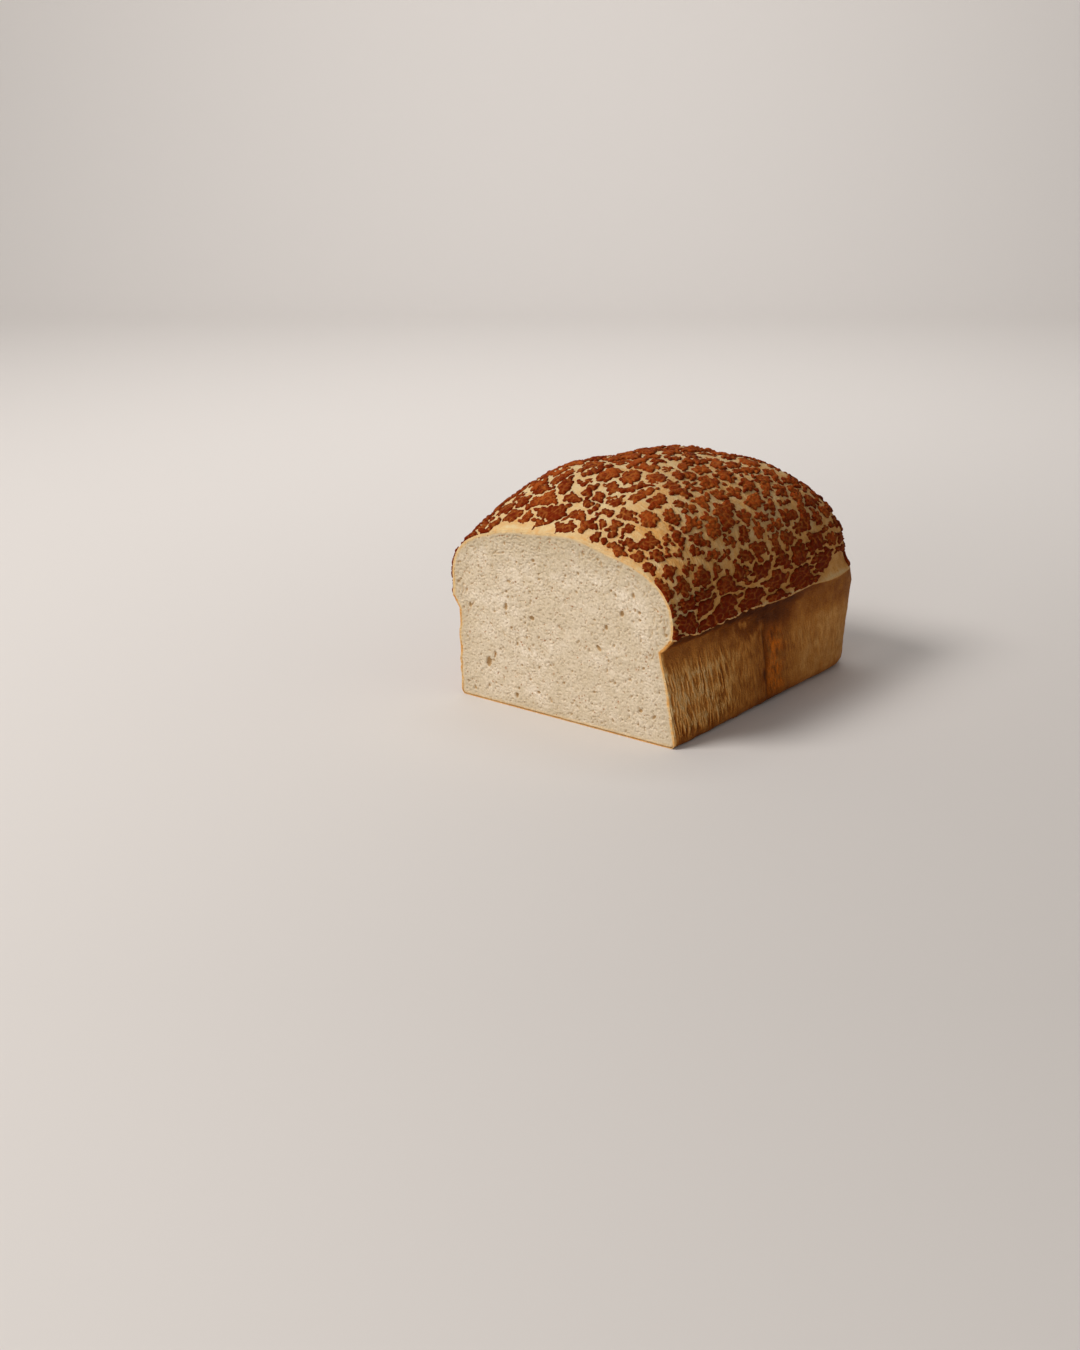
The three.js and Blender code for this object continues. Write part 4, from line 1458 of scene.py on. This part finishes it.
@dataclass
class PastePlates:
    """The cracked plates of baked rice paste: closed pieces that sit in the dome's skin."""

    pattern: PastePattern
    grid: float = 0.52
    rise: float = 1.1  # of a plate's middle above the skin
    edge_rise: float = 0.4  # and of its edge
    shoulder: float = 0.8  # from the edge to the full rise
    cell_step: float = 0.3  # how much the height differs from cell to cell
    cluster_step: float = 0.8  # and from plate to plate
    grain: tuple[Lumps, Lumps] = (Lumps(1.0, 81), Lumps(2.6, 82))
    grain_height: float = 0.17
    vein_depth: float = 0.3
    root_depth: float = 0.6  # of its underside below the skin
    least_cells: int = 24  # a smaller scrap is left out
    slope_step: float = 0.15  # over which the slope towards an edge is measured
    least_steepness: float = 0.3
    most_move: float = 0.55  # of the grid, when an edge point is drawn to the true edge
    behind_cut: float = 0.02
    tone_draws: tuple[float, float] = (0.6, 0.9)  # how much the tone differs by cell and by cluster
    tone_offset: float = -0.27
    # darker low on the dome: partly browner baking, partly painted shade
    low_baking_and_shade: Fade = Fade(62.0, 116.0)  # heights
    darker_by_cut: Fade = Fade(8.0, 48.0, 0.7)
    names: tuple[str, ...] = ("paste_plates_front", "paste_plates_middle", "paste_plates_back")
    bounds_along: tuple[float, float] = (68.0, 130.0)  # where one piece ends and the next starts

    def to_edge(self, u: Array, v: Array, depth: Array) -> tuple[Array, Array]:
        """Moves points of the plan to the edge of their plate.

        Args:
            u: Ways down from the ridge.
            v: Ways along the spine.
            depth: How far each lies inside its plate.

        Returns:
            The moved (u, v).
        """
        step = self.slope_step
        slope_u = (self.pattern.inside(u + step, v)[0] - depth) / step
        slope_v = (self.pattern.inside(u, v + step)[0] - depth) / step
        steep = np.maximum(slope_u**2 + slope_v**2, self.least_steepness)
        most = self.most_move * self.grid
        du = np.clip(-depth * slope_u / steep, -most, most)
        dv = np.where(v <= 0.0, 0.0, np.clip(-depth * slope_v / steep, -most, most))
        return u + du, np.maximum(0.0, v + dv)

    def cells(self) -> tuple[Array, Array, Array, Array]:
        """The plan's (u, v) of the plates' points, their quads, and the numbers of the edge points.

        Returns:
            u, v, quads and edge numbers.
        """
        form = self.pattern.form
        side = np.arange(-form.reach, form.reach, self.grid)
        lengthwise = np.arange(0.0, form.spine_length + form.reach, self.grid)
        u, v = np.meshgrid(side, lengthwise, indexing="ij")
        down = np.hypot(u, np.maximum(0.0, v - form.spine_length))
        in_plan = down < form.reach - self.pattern.lip_margin
        depth = np.full(u.shape, -1.0)
        depth[in_plan] = self.pattern.inside(u[in_plan], v[in_plan])[0]
        mean = (depth[:-1, :-1] + depth[1:, :-1] + depth[1:, 1:] + depth[:-1, 1:]) / 4.0
        whole = in_plan[:-1, :-1] & in_plan[1:, :-1] & in_plan[1:, 1:] & in_plan[:-1, 1:]
        used, quads = grid_faces(part_touching_corners((mean > 0.0) & whole))
        islands = island_labels(quads, len(used))
        size = np.bincount(islands[quads[:, 0]], minlength=len(used))
        quads = quads[size[islands[quads[:, 0]]] >= self.least_cells]
        kept, numbered = np.unique(quads, return_inverse=True)
        quads = numbered.reshape(-1, 4)
        spot = tuple(used[kept].T)
        u, v, depth = u[spot], v[spot], depth[spot]
        edge = np.unique(border_edges(quads))
        u[edge], v[edge] = self.to_edge(u[edge], v[edge], depth[edge])
        return u, v, quads, edge

    def risen(self, surface: Array, depth: Array, cell: Array, vein: Array) -> Array:
        """How far the plates' upper points stand above the skin.

        Args:
            surface: The skin's points.
            depth: How far each lies inside its plate.
            cell: The number of its cell.
            vein: How near it is to a closed border.

        Returns:
            Millimetres for each point.
        """
        cluster = self.pattern.cluster_of[cell]
        rise = lerp(self.edge_rise, self.rise, smoothstep(depth, 0.0, self.shoulder))
        rise += self.grain_height * heaped(self.grain, surface) * (depth > 0.0)
        rise += self.cell_step * (pair_draw(cell, cell, Lot.CELL_RISE) - 0.5) - self.vein_depth * vein
        return rise + self.cluster_step * (pair_draw(cluster, cluster, Lot.CLUSTER_RISE) - 0.5)

    def tone(self, surface: Array, cell: Array) -> Array:
        """How light the paste is: it differs by cell and cluster, and is darker near the cut and, partly as
        painted shade, low down.

        Args:
            surface: The skin's points.
            cell: The number of its cell.

        Returns:
            One value for each point.
        """
        cluster = self.pattern.cluster_of[cell]
        by_cell, by_cluster = self.tone_draws
        tone = by_cell * pair_draw(cell, cell, Lot.CELL_TONE)
        tone += by_cluster * pair_draw(cluster, cluster, Lot.CLUSTER_TONE) + self.tone_offset
        # darker low down, partly painted shade
        return tone - self.low_baking_and_shade.dies_out(surface[:, 2]) - self.darker_by_cut.dies_out(surface[:, 1])

    def build(self, shift: Array) -> list[bpy.types.Object]:
        """Makes the plates, in three pieces from the cut to the far end.

        Args:
            shift: What takes the form's millimetres to the part's.

        Returns:
            The three pieces.
        """
        form = self.pattern.form
        u, v, quads, edge = self.cells()
        depth, cell, vein = self.pattern.inside(u, v)
        depth[edge] = 0.0
        surface, normal = form.crust(u, v), form.crust_normal(u, v)
        uneven = form.roughened(surface, normal)
        top = uneven + normal * self.risen(surface, depth, cell, vein)[:, None]
        bottom = uneven - normal * self.root_depth
        cut = v <= 0.0
        for line in (top, bottom):
            line[cut, 1] = -form.lean_at(0.0 * line[cut, 0], line[cut, 2]) + self.behind_cut
        carried = {"inward": np.clip(depth, 0.0, 3.0), "tone": self.tone(surface, cell), "vein": vein}
        islands = island_labels(quads, len(u))
        middle_v = np.bincount(islands, v, len(u)) / np.maximum(np.bincount(islands, minlength=len(u)), 1)
        section = np.searchsorted(self.bounds_along, middle_v[islands])[quads[:, 0]]
        own_quads = [quads[section == i] for i in range(len(self.names))]
        return [self.section_of(*own, top, bottom, carried, shift) for own in zip(self.names, own_quads)]

    @staticmethod
    def section_of(
        name: str, quads: Array, top: Array, bottom: Array, carried: dict[str, Array], shift: Array
    ) -> bpy.types.Object:
        """Makes the closed plates of one section.

        Args:
            name: The piece's name.
            quads: The section's cells.
            top: The plates' upper points.
            bottom: Their lower points.
            carried: The measures of each point.
            shift: What takes the form's millimetres to the part's.

        Returns:
            The piece.
        """
        kept, numbered = np.unique(quads, return_inverse=True)
        quads = numbered.reshape(-1, 4)
        count = len(kept)
        border = border_edges(quads)
        sides = np.stack([border[:, 1], border[:, 0], border[:, 0] + count, border[:, 1] + count], axis=1)
        faces = np.concatenate([quads, quads[:, ::-1] + count, sides])
        measures = {title: np.tile(values[kept], 2) for title, values in carried.items()}
        points = np.concatenate([top[kept], bottom[kept]])
        return Sheet(points, [tuple(face) for face in faces.tolist()], measures).build(name, shift)


# ---- Finishes --------------------------------------------------------------------------------------


Colour = tuple[float, float, float, float]
Value = float | tuple[float, ...] | bpy.types.NodeSocket


def colour(red: int, green: int, blue: int) -> Colour:
    """A colour given as screen values from 0 to 255, in Blender's linear values."""
    parts = [value / 255.0 for value in (red, green, blue)]
    linear = [part / 12.92 if part <= 0.04045 else ((part + 0.055) / 1.055) ** 2.4 for part in parts]
    return (*linear, 1.0)


@dataclass
class Bench:
    """Adds and joins the nodes of one node tree."""

    tree: bpy.types.NodeTree

    def add(self, kind: str, **settings: object) -> bpy.types.Node:
        """Adds a node with settings."""
        node = self.tree.nodes.new(kind)
        for name, value in settings.items():
            setattr(node, name, value)
        return node

    def feed(self, node: bpy.types.Node, socket: str | int, value: Value) -> None:
        """Joins a value to a node's input, or sets it there."""
        target = node.inputs[socket]
        if isinstance(value, bpy.types.NodeSocket):
            self.tree.links.new(value, target)
        else:
            target.default_value = value

    def feed_all(self, node: bpy.types.Node, values: dict[str | int, Value]) -> bpy.types.Node:
        """Feeds several inputs of a node, and gives the node."""
        for socket, value in values.items():
            self.feed(node, socket, value)
        return node

    def math(self, operation: str, *values: Value, clamp: bool = False) -> bpy.types.NodeSocket:
        """Adds a Math node and gives its output."""
        node = self.add("ShaderNodeMath", operation=operation, use_clamp=clamp)
        return self.feed_all(node, dict(enumerate(values))).outputs[0]

    def times(self, value: Value, factor: Value) -> bpy.types.NodeSocket:
        """Multiplies two values."""
        return self.math("MULTIPLY", value, factor)

    def lumps(self, kind: str, place: Value, size: Value, per_size: float = 1.0) -> bpy.types.Node:
        """Adds a texture with so many lumps for each size in metres."""
        scale = self.math("DIVIDE", per_size, size)
        return self.feed_all(self.add(kind), {"Vector": place, "Scale": scale})

    def span(self, value: Value, low: float, high: float, start: float, end: float) -> bpy.types.NodeSocket:
        """Takes low..high to start..end, held at both ends."""
        node = self.add("ShaderNodeMapRange", interpolation_type="SMOOTHSTEP")
        values = {"Value": value, "From Min": low, "From Max": high, "To Min": start, "To Max": end}
        return self.feed_all(node, values).outputs["Result"]

    def mix(self, part: Value, first: Value, second: Value) -> bpy.types.NodeSocket:
        """Mixes two colours."""
        node = self.add("ShaderNodeMix", data_type="RGBA", clamp_factor=True)
        return self.feed_all(node, {0: part, 6: first, 7: second}).outputs[2]

    def tint(self, shade: Value, mask: Value, share: float, tone: Value) -> bpy.types.NodeSocket:
        """Lays a share of a colour over a shade where a mask is."""
        return self.mix(self.times(mask, share), shade, tone)

    def ramp(self, value: Value, stops: tuple[tuple[float, Colour], ...]) -> bpy.types.NodeSocket:
        """Adds a colour ramp with stops of (place, colour).

        Args:
            value: What goes through the ramp.
            stops: Places and their colours.

        Returns:
            The ramp's colour.
        """
        node = self.add("ShaderNodeValToRGB")
        elements = node.color_ramp.elements
        while len(elements) < len(stops):
            elements.new(0.5)
        for element, (place, shade) in zip(elements, stops):
            element.position = place
            element.color = shade
        self.feed(node, 0, value)
        return node.outputs["Color"]

    def measure(self, name: str) -> bpy.types.NodeSocket:
        """Reads a measure that the mesh carries."""
        return self.add("ShaderNodeAttribute", attribute_name=name).outputs["Fac"]

    def spot(self) -> bpy.types.NodeSocket:
        """The place on the piece, in metres."""
        return self.add("ShaderNodeTexCoord").outputs["Object"]


class Effect(Enum):
    """The effects that several finishes share, each a node group."""

    GRAIN = "fine_grain"
    MOTTLE = "broad_mottle"
    FLECKS = "scattered_flecks"


@dataclass
class EffectShelf:
    """Builds each shared effect once and places it in a finish."""

    built: dict[Effect, bpy.types.NodeTree] = field(default_factory=dict)

    def start(
        self, effect: Effect, inputs: tuple[str, ...], output: str
    ) -> tuple[Bench, bpy.types.bpy_prop_collection, bpy.types.Node]:
        """Starts a group with a place input, number inputs and one output.

        Args:
            effect: Which effect.
            inputs: Names of its number inputs.
            output: Name of its output.

        Returns:
            The group's bench, its input sockets and its output node.
        """
        group = bpy.data.node_groups.new(effect.value, "ShaderNodeTree")
        group.interface.new_socket("Place", in_out="INPUT", socket_type="NodeSocketVector")
        for name in inputs:
            group.interface.new_socket(name, in_out="INPUT", socket_type="NodeSocketFloat")
        group.interface.new_socket(output, in_out="OUTPUT", socket_type="NodeSocketFloat")
        bench = Bench(group)
        given = bench.add("NodeGroupInput").outputs
        self.built[effect] = group
        return bench, given, bench.add("NodeGroupOutput")

    def build_grain(self) -> None:
        """Fine grain: noise of a size in metres, from 0 to 1."""
        bench, given, result = self.start(Effect.GRAIN, ("Size", "Detail"), "Height")
        texture = bench.lumps("ShaderNodeTexNoise", given["Place"], given["Size"])
        bench.feed(texture, "Detail", given["Detail"])
        bench.feed(result, "Height", texture.outputs[0])

    def build_mottle(self) -> None:
        """Broad mottle: soft patches of a size in metres, spread by a contrast about one half."""
        bench, given, result = self.start(Effect.MOTTLE, ("Size", "Contrast"), "Patch")
        texture = bench.lumps("ShaderNodeTexNoise", given["Place"], given["Size"])
        bench.feed(texture, "Detail", 2.0)
        spread = bench.times(bench.math("SUBTRACT", texture.outputs[0], 0.5), given["Contrast"])
        bench.feed(result, "Patch", bench.math("ADD", spread, 0.5, clamp=True))

    def build_flecks(self, wobbles: float = 2.2, unevenness: float = 0.5, sharpness: float = 7.0) -> None:
        """Scattered flecks: a mask of uneven small spots, in a share of cells of a size in metres.

        Args:
            wobbles: How many of them there are along a cell.
            unevenness: How far they move a fleck's outline, in cells.
            sharpness: How steep the mask's edge is.
        """
        bench, given, result = self.start(Effect.FLECKS, ("Size", "Share", "Radius"), "Mask")
        wobble = bench.lumps("ShaderNodeTexNoise", given["Place"], given["Size"], wobbles)
        cells = bench.lumps("ShaderNodeTexVoronoi", given["Place"], given["Size"])
        parts = bench.feed_all(bench.add("ShaderNodeSeparateColor"), {0: cells.outputs["Color"]})
        chosen = bench.math("LESS_THAN", parts.outputs[0], given["Share"])
        size = bench.times(given["Radius"], bench.math("ADD", parts.outputs[1], 0.45))
        uneven = bench.times(bench.math("SUBTRACT", wobble.outputs[0], 0.5), unevenness)
        reach = bench.math("ADD", bench.math("SUBTRACT", size, cells.outputs["Distance"]), uneven)
        soft = bench.math("MULTIPLY", reach, sharpness, clamp=True)
        bench.feed(result, "Mask", bench.times(soft, chosen))

    def place(self, bench: Bench, effect: Effect, spot: Value, **values: Value) -> bpy.types.NodeSocket:
        """Places an effect in a finish and gives its output.

        Args:
            bench: The finish's bench.
            effect: Which effect.
            spot: The place on the piece.
            **values: The effect's inputs, by their names in small letters.

        Returns:
            The effect's output.
        """
        makers = {
            Effect.GRAIN: self.build_grain,
            Effect.MOTTLE: self.build_mottle,
            Effect.FLECKS: self.build_flecks,
        }
        if effect not in self.built:
            makers[effect]()
        node = bench.add("ShaderNodeGroup")
        node.node_tree = self.built[effect]
        inputs = {name.capitalize(): value for name, value in values.items()}
        return bench.feed_all(node, {"Place": spot, **inputs}).outputs[0]


def new_finish(name: str) -> tuple[bpy.types.Material, Bench, bpy.types.Node]:
    """Starts a material and gives it, its bench and its shader."""
    material = bpy.data.materials.new(name)
    material.use_nodes = True
    return material, Bench(material.node_tree), material.node_tree.nodes["Principled BSDF"]


Painted = tuple[bpy.types.NodeSocket, bpy.types.NodeSocket]


@dataclass(frozen=True)
class Finish:
    """A matte finish with a fine relief; each kind of finish says how it is painted."""

    shelf: EffectShelf
    name: str = "finish"
    roughness: float = 0.6
    shine: float = 0.06
    relief: tuple[float, float] = (0.7, 0.0007)  # strength, and depth in metres

    def paint(self, bench: Bench) -> Painted:
        """Gives the colour and the height of the relief."""
        raise NotImplementedError

    def build(self) -> bpy.types.Material:
        """Makes the material."""
        material, bench, shader = new_finish(self.name)
        shade, height = self.paint(bench)
        strength, depth = self.relief
        bumps = bench.add("ShaderNodeBump")
        bench.feed_all(bumps, {"Strength": strength, "Distance": depth, "Height": height})
        bench.feed_all(shader, {"Base Color": shade, "Normal": bumps.outputs[0]})
        bench.feed_all(shader, {"Roughness": self.roughness, "Specular IOR Level": self.shine})
        return material


@dataclass(frozen=True)
class SkinFinish(Finish):
    """Baked skin without paste: pale on the dome, tan on the wall, amber in patches."""

    name: str = "baked_skin"
    relief: tuple[float, float] = (0.75, 0.0007)
    stops: tuple[tuple[float, Colour], ...] = (
        (0.0, colour(213, 190, 144)),
        (0.3, colour(208, 152, 84)),
        (0.52, colour(178, 114, 48)),
        (0.76, colour(126, 66, 16)),
        (1.0, colour(74, 32, 8)),
    )
    amber: Colour = colour(214, 112, 22)
    fleck: Colour = colour(112, 62, 26)
    mottled: float = 0.18  # how much patches and grain change how baked it looks
    # painted highlight on the streaks' crests and painted shade between them
    streak_highlight_and_shade: float = -0.4
    raised_streaks: float = 1.6
    streak_size: float = 0.0014  # metres
    streak_length: float = 0.2  # upright places are pushed together by this share
    streak_steepness: float = 4.0
    streak_reach: float = 0.3  # of its values, up and down

    def paint(self, bench: Bench) -> Painted:
        """Gives the colour and the height of the relief.

        Args:
            bench: The finish's bench.

        Returns:
            The two sockets.
        """
        spot = bench.spot()
        shelf = self.shelf
        patch = shelf.place(bench, Effect.MOTTLE, spot, size=0.005, contrast=1.6)
        fine = shelf.place(bench, Effect.GRAIN, spot, size=0.0011, detail=4.0)
        uneven = bench.math("SUBTRACT", bench.math("ADD", patch, fine), 1.0)
        # the baked tone, with its painted shade and highlight, mottled
        baked = bench.math("ADD", bench.measure("baked"), bench.times(uneven, self.mottled))
        streak = self.streaks(bench, spot)
        # painted highlight on the streaks' crests and painted shade between them
        baked = bench.math("ADD", baked, bench.times(streak, self.streak_highlight_and_shade), clamp=True)
        caramel = bench.times(bench.measure("amber"), bench.span(fine, 0.4, 0.6, 0.5, 1.0))
        shade = bench.mix(caramel, bench.ramp(baked, self.stops), self.amber)
        flecks = shelf.place(bench, Effect.FLECKS, spot, size=0.0024, share=0.3, radius=0.16)
        shade = bench.tint(shade, flecks, share=0.35, tone=self.fleck)
        grain = shelf.place(bench, Effect.GRAIN, spot, size=0.0007, detail=5.0)
        height = bench.math("ADD", bench.math("ADD", grain, fine), bench.times(streak, self.raised_streaks))
        return shade, height

    def streaks(self, bench: Bench, spot: Value) -> bpy.types.NodeSocket:
        """Fine upright streaks, about -0.3 to 0.3, as strong as the mesh says.

        Args:
            bench: The finish's bench.
            spot: The place on the piece.

        Returns:
            Their value.
        """
        parts = bench.feed_all(bench.add("ShaderNodeSeparateXYZ"), {0: spot}).outputs
        upright = bench.times(parts[2], self.streak_length)
        place = bench.add("ShaderNodeCombineXYZ")
        bench.feed_all(place, {0: bench.measure("along"), 1: upright, 2: bench.math("SIGN", parts[0])})
        streak = self.shelf.place(bench, Effect.GRAIN, place.outputs[0], size=self.streak_size, detail=2.0)
        off_crest = bench.math("ABSOLUTE", bench.math("SUBTRACT", streak, 0.5))
        crest = bench.math("SUBTRACT", self.streak_reach, bench.times(off_crest, self.streak_steepness))
        return bench.times(bench.math("MAXIMUM", crest, -self.streak_reach), bench.measure("upright"))


@dataclass(frozen=True)
class PasteFinish(Finish):
    """Baked rice paste: red-brown, darker round each plate's edge, granular and nearly matte."""

    name: str = "baked_rice_paste"
    roughness: float = 0.66
    shine: float = 0.03
    relief: tuple[float, float] = (0.7, 0.0006)
    dark: Colour = colour(92, 24, 1)
    middle: Colour = colour(104, 27, 1)
    light: Colour = colour(152, 66, 18)
    vein: Colour = colour(180, 112, 48)
    speck: Colour = colour(200, 116, 52)
    tone_share: float = 0.6
    grain_share: float = 2.4

    def paint(self, bench: Bench) -> Painted:
        """Gives the colour and the height of the relief.

        Args:
            bench: The finish's bench.

        Returns:
            The two sockets.
        """
        spot = bench.spot()
        shelf = self.shelf
        patch = shelf.place(bench, Effect.MOTTLE, spot, size=0.009, contrast=1.8)
        grain = shelf.place(bench, Effect.GRAIN, spot, size=0.0009, detail=5.0)
        inner = bench.span(bench.measure("inward"), 0.0, 0.6, 0.5, 1.0)
        tone = bench.math("ADD", bench.times(bench.measure("tone"), self.tone_share), patch)
        grainy = bench.times(bench.math("SUBTRACT", grain, 0.5), self.grain_share)
        tone = bench.math("ADD", tone, grainy)
        body = bench.mix(bench.span(tone, 0.2, 1.2, 0.0, 1.0), self.middle, self.light)
        shade = bench.mix(inner, self.dark, body)
        shade = bench.tint(shade, bench.measure("vein"), share=0.6, tone=self.vein)
        specks = shelf.place(bench, Effect.FLECKS, spot, size=0.0013, share=0.4, radius=0.3)
        return bench.tint(shade, specks, share=0.3, tone=self.speck), grain


@dataclass(frozen=True)
class CrumbFinish(Finish):
    """Open crumb: cream with bran specks, with painted shade in the pores, and greyer near the crust."""

    name: str = "open_crumb"
    roughness: float = 0.85
    shine: float = 0.2
    relief: tuple[float, float] = (0.45, 0.0007)
    light: Colour = colour(229, 214, 194)
    main: Colour = colour(204, 186, 159)
    grey: Colour = colour(173, 155, 124)
    # painted shade in the pores
    pore: Colour = colour(166, 130, 82)
    bran: Colour = colour(156, 104, 62)
    side: Colour = colour(210, 178, 130)

    def paint(self, bench: Bench) -> Painted:
        """Gives the colour and the height of the relief.

        Args:
            bench: The finish's bench.

        Returns:
            The two sockets.
        """
        spot = bench.spot()
        shelf = self.shelf
        patch = shelf.place(bench, Effect.MOTTLE, spot, size=0.007, contrast=2.6)
        fine = shelf.place(bench, Effect.GRAIN, spot, size=0.0012, detail=5.0)
        broad = shelf.place(bench, Effect.MOTTLE, spot, size=0.021, contrast=2.6)
        shade = bench.mix(bench.times(patch, broad), self.main, self.light)
        shade = bench.mix(bench.span(fine, 0.38, 0.62, 0.42, 0.0), shade, self.grey)
        shade = bench.tint(shade, bench.measure("near_rim"), share=0.35, tone=self.grey)
        shade = bench.mix(bench.span(bench.measure("crumb_height"), 0.7, 1.0, 0.0, 0.45), shade, self.grey)
        shade = bench.tint(shade, bench.measure("baked_side"), share=0.75, tone=self.side)
        # painted shade in the pores, by their depth
        shade = bench.mix(bench.span(bench.measure("pore"), 0.15, 1.1, 0.0, 0.85), shade, self.pore)
        small = shelf.place(bench, Effect.FLECKS, spot, size=0.0019, share=0.42, radius=0.22)
        large = shelf.place(bench, Effect.FLECKS, spot, size=0.006, share=0.34, radius=0.12)
        shade = bench.tint(shade, small, share=0.8, tone=self.bran)
        return bench.tint(shade, large, share=0.6, tone=self.bran), fine


# ---- The studio ------------------------------------------------------------------------------------


@dataclass(frozen=True)
class Lamp:
    """A soft square lamp: its name, where it stands, its side in metres, its power in watts, its
    tint, and what it looks at."""

    name: str
    at: tuple[float, float, float]
    size: float
    power: float
    tint: tuple[float, float, float]
    towards: tuple[float, float, float] = (0.0, 0.0, 0.05)

    def build(self) -> None:
        """Adds the lamp."""
        light = bpy.data.lights.new(self.name, "AREA")
        light.size = self.size
        light.energy = self.power
        light.color = self.tint
        aim(add_object(self.name, light), self.at, Vector(self.towards) - Vector(self.at))


def aim(holder: bpy.types.Object, at: tuple[float, float, float], way: Vector) -> None:
    """Stands a lamp or a camera at a place, looking along a way."""
    holder.location = at
    holder.rotation_mode = "QUATERNION"
    holder.rotation_quaternion = way.to_track_quat("-Z", "Y")


@dataclass
class Studio:
    """Plain pale floor that curves up behind, soft lights, and the camera at the photograph's angle."""

    camera_at: tuple[float, float, float] = (0.5313, -0.7736, 0.315)
    camera_towards: tuple[float, float, float] = (-0.5907, 0.7415, -0.3181)
    lens: float = 48.0
    floor_half: float = 3.2
    wall_away: float = 1.5  # from the loaf to where the floor curves up
    curve_radius: float = 0.7
    wall_height: float = 3.0
    curve_steps: int = 24
    floor_tone: Colour = colour(213, 207, 202)
    floor_roughness: float = 0.8
    air_tint: Colour = (1.0, 0.98, 0.96, 1.0)
    air_strength: float = 0.22
    lamps: tuple[Lamp, ...] = (
        Lamp("key_lamp", (-0.6, -1.05, 1.35), 0.65, 24.0, (1.0, 0.98, 0.96)),
        Lamp("low_lamp", (0.42, -1.6, 0.22), 0.5, 8.0, (1.0, 0.98, 0.95)),
        Lamp("backdrop_lamp", (-0.4, 0.5, 1.5), 1.0, 18.5, (1.0, 1.0, 1.0), (-1.3, 1.7, 0.5)),
    )

    def add_camera(self) -> None:
        """Adds the camera."""
        lens = bpy.data.cameras.new("camera")
        lens.lens = self.lens
        camera = add_object("camera", lens)
        aim(camera, self.camera_at, Vector(self.camera_towards))
        bpy.context.scene.camera = camera

    def add_floor(self) -> None:
        """Adds the floor and backdrop as one sheet, square to the camera."""
        away = Vector((self.camera_towards[0], self.camera_towards[1], 0.0)).normalized()
        across = Vector((away.y, -away.x, 0.0))
        profile = [(-self.floor_half, 0.0), (self.wall_away, 0.0)]
        for i in range(1, self.curve_steps + 1):
            turn = math.pi / 2.0 * i / self.curve_steps
            rise = self.curve_radius * (1.0 - math.cos(turn))
            profile.append((self.wall_away + self.curve_radius * math.sin(turn), rise))
        profile.append((profile[-1][0], self.wall_height))
        points = []
        for distance, height in profile:
            for side in (-self.floor_half, self.floor_half):
                spot = away * distance + across * side
                points.append((spot.x, spot.y, height))
        faces = [(2 * i, 2 * i + 1, 2 * i + 3, 2 * i + 2) for i in range(len(profile) - 1)]
        mesh = bpy.data.meshes.new("studio_floor")
        mesh.from_pydata(points, [], faces)
        mesh.shade_smooth()
        material, bench, shader = new_finish("pale_floor")
        bench.feed_all(shader, {"Base Color": self.floor_tone, "Roughness": self.floor_roughness})
        mesh.materials.append(material)
        add_object("studio_floor", mesh)

    def build(self) -> None:
        """Sets up floor, lights, background and colour view."""
        self.add_camera()
        self.add_floor()
        for lamp in self.lamps:
            lamp.build()
        world = bpy.data.worlds.new("studio_air")
        bpy.context.scene.world = world
        world.use_nodes = True
        background = world.node_tree.nodes["Background"]
        background.inputs["Color"].default_value = self.air_tint
        background.inputs["Strength"].default_value = self.air_strength
        bpy.context.scene.view_settings.view_transform = "Standard"


# ---- The whole -------------------------------------------------------------------------------------


def form_shift(crust: CrustBody, flat: float = 0.001) -> Array:
    """What takes the form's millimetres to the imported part's, found by matching their flat bases.

    Args:
        crust: The crust body.
        flat: Packed points below this height, in millimetres, belong to the base.

    Returns:
        The shift, in millimetres.
    """
    places = np.array([vertex.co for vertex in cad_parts[NODE].data.vertices]) / MM
    packed = places[places[:, 2] < flat]
    own = crust.form.base(crust.stations, 1.0)
    left, right = (packed[:, 0].min() - own[:, 0].min()), (packed[:, 0].max() - own[:, 0].max())
    return np.array([(left + right) / 2.0, packed[:, 1].min() - own[:, 1].min(), 0.0])


def settle(piece: bpy.types.Object, slot: str, material: bpy.types.Material) -> None:
    """Gives a piece its finish and body, hides the imported part, and logs it with its slot's name.

    Args:
        piece: The piece.
        slot: The record's material slot, which only goes into the log.
        material: Its finish.
    """
    piece.data.materials.append(material)
    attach(piece, BODY)
    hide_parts(NODE)
    triangles = sum(len(face.vertices) - 2 for face in piece.data.polygons)
    log.info("%s: %d triangles, slot %s", piece.name, triangles, slot)


def write_sizes() -> None:
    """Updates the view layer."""
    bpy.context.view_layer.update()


def main() -> None:
    """Builds the studio and the loaf's pieces in order."""
    logging.basicConfig(level=logging.INFO, format="%(message)s")
    Studio().build()
    shelf = EffectShelf()
    form = LoafForm()
    crust = CrustBody(form)
    shift = form_shift(crust)
    settle(crust.build(shift), "crust", SkinFinish(shelf).build())
    settle(Crumb(crust).build(shift), "crumb", CrumbFinish(shelf).build())
    paste = PasteFinish(shelf).build()
    for piece in PastePlates(PastePattern(form)).build(shift):
        settle(piece, "plates", paste)
    write_sizes()


if __name__ == "__main__":
    main()
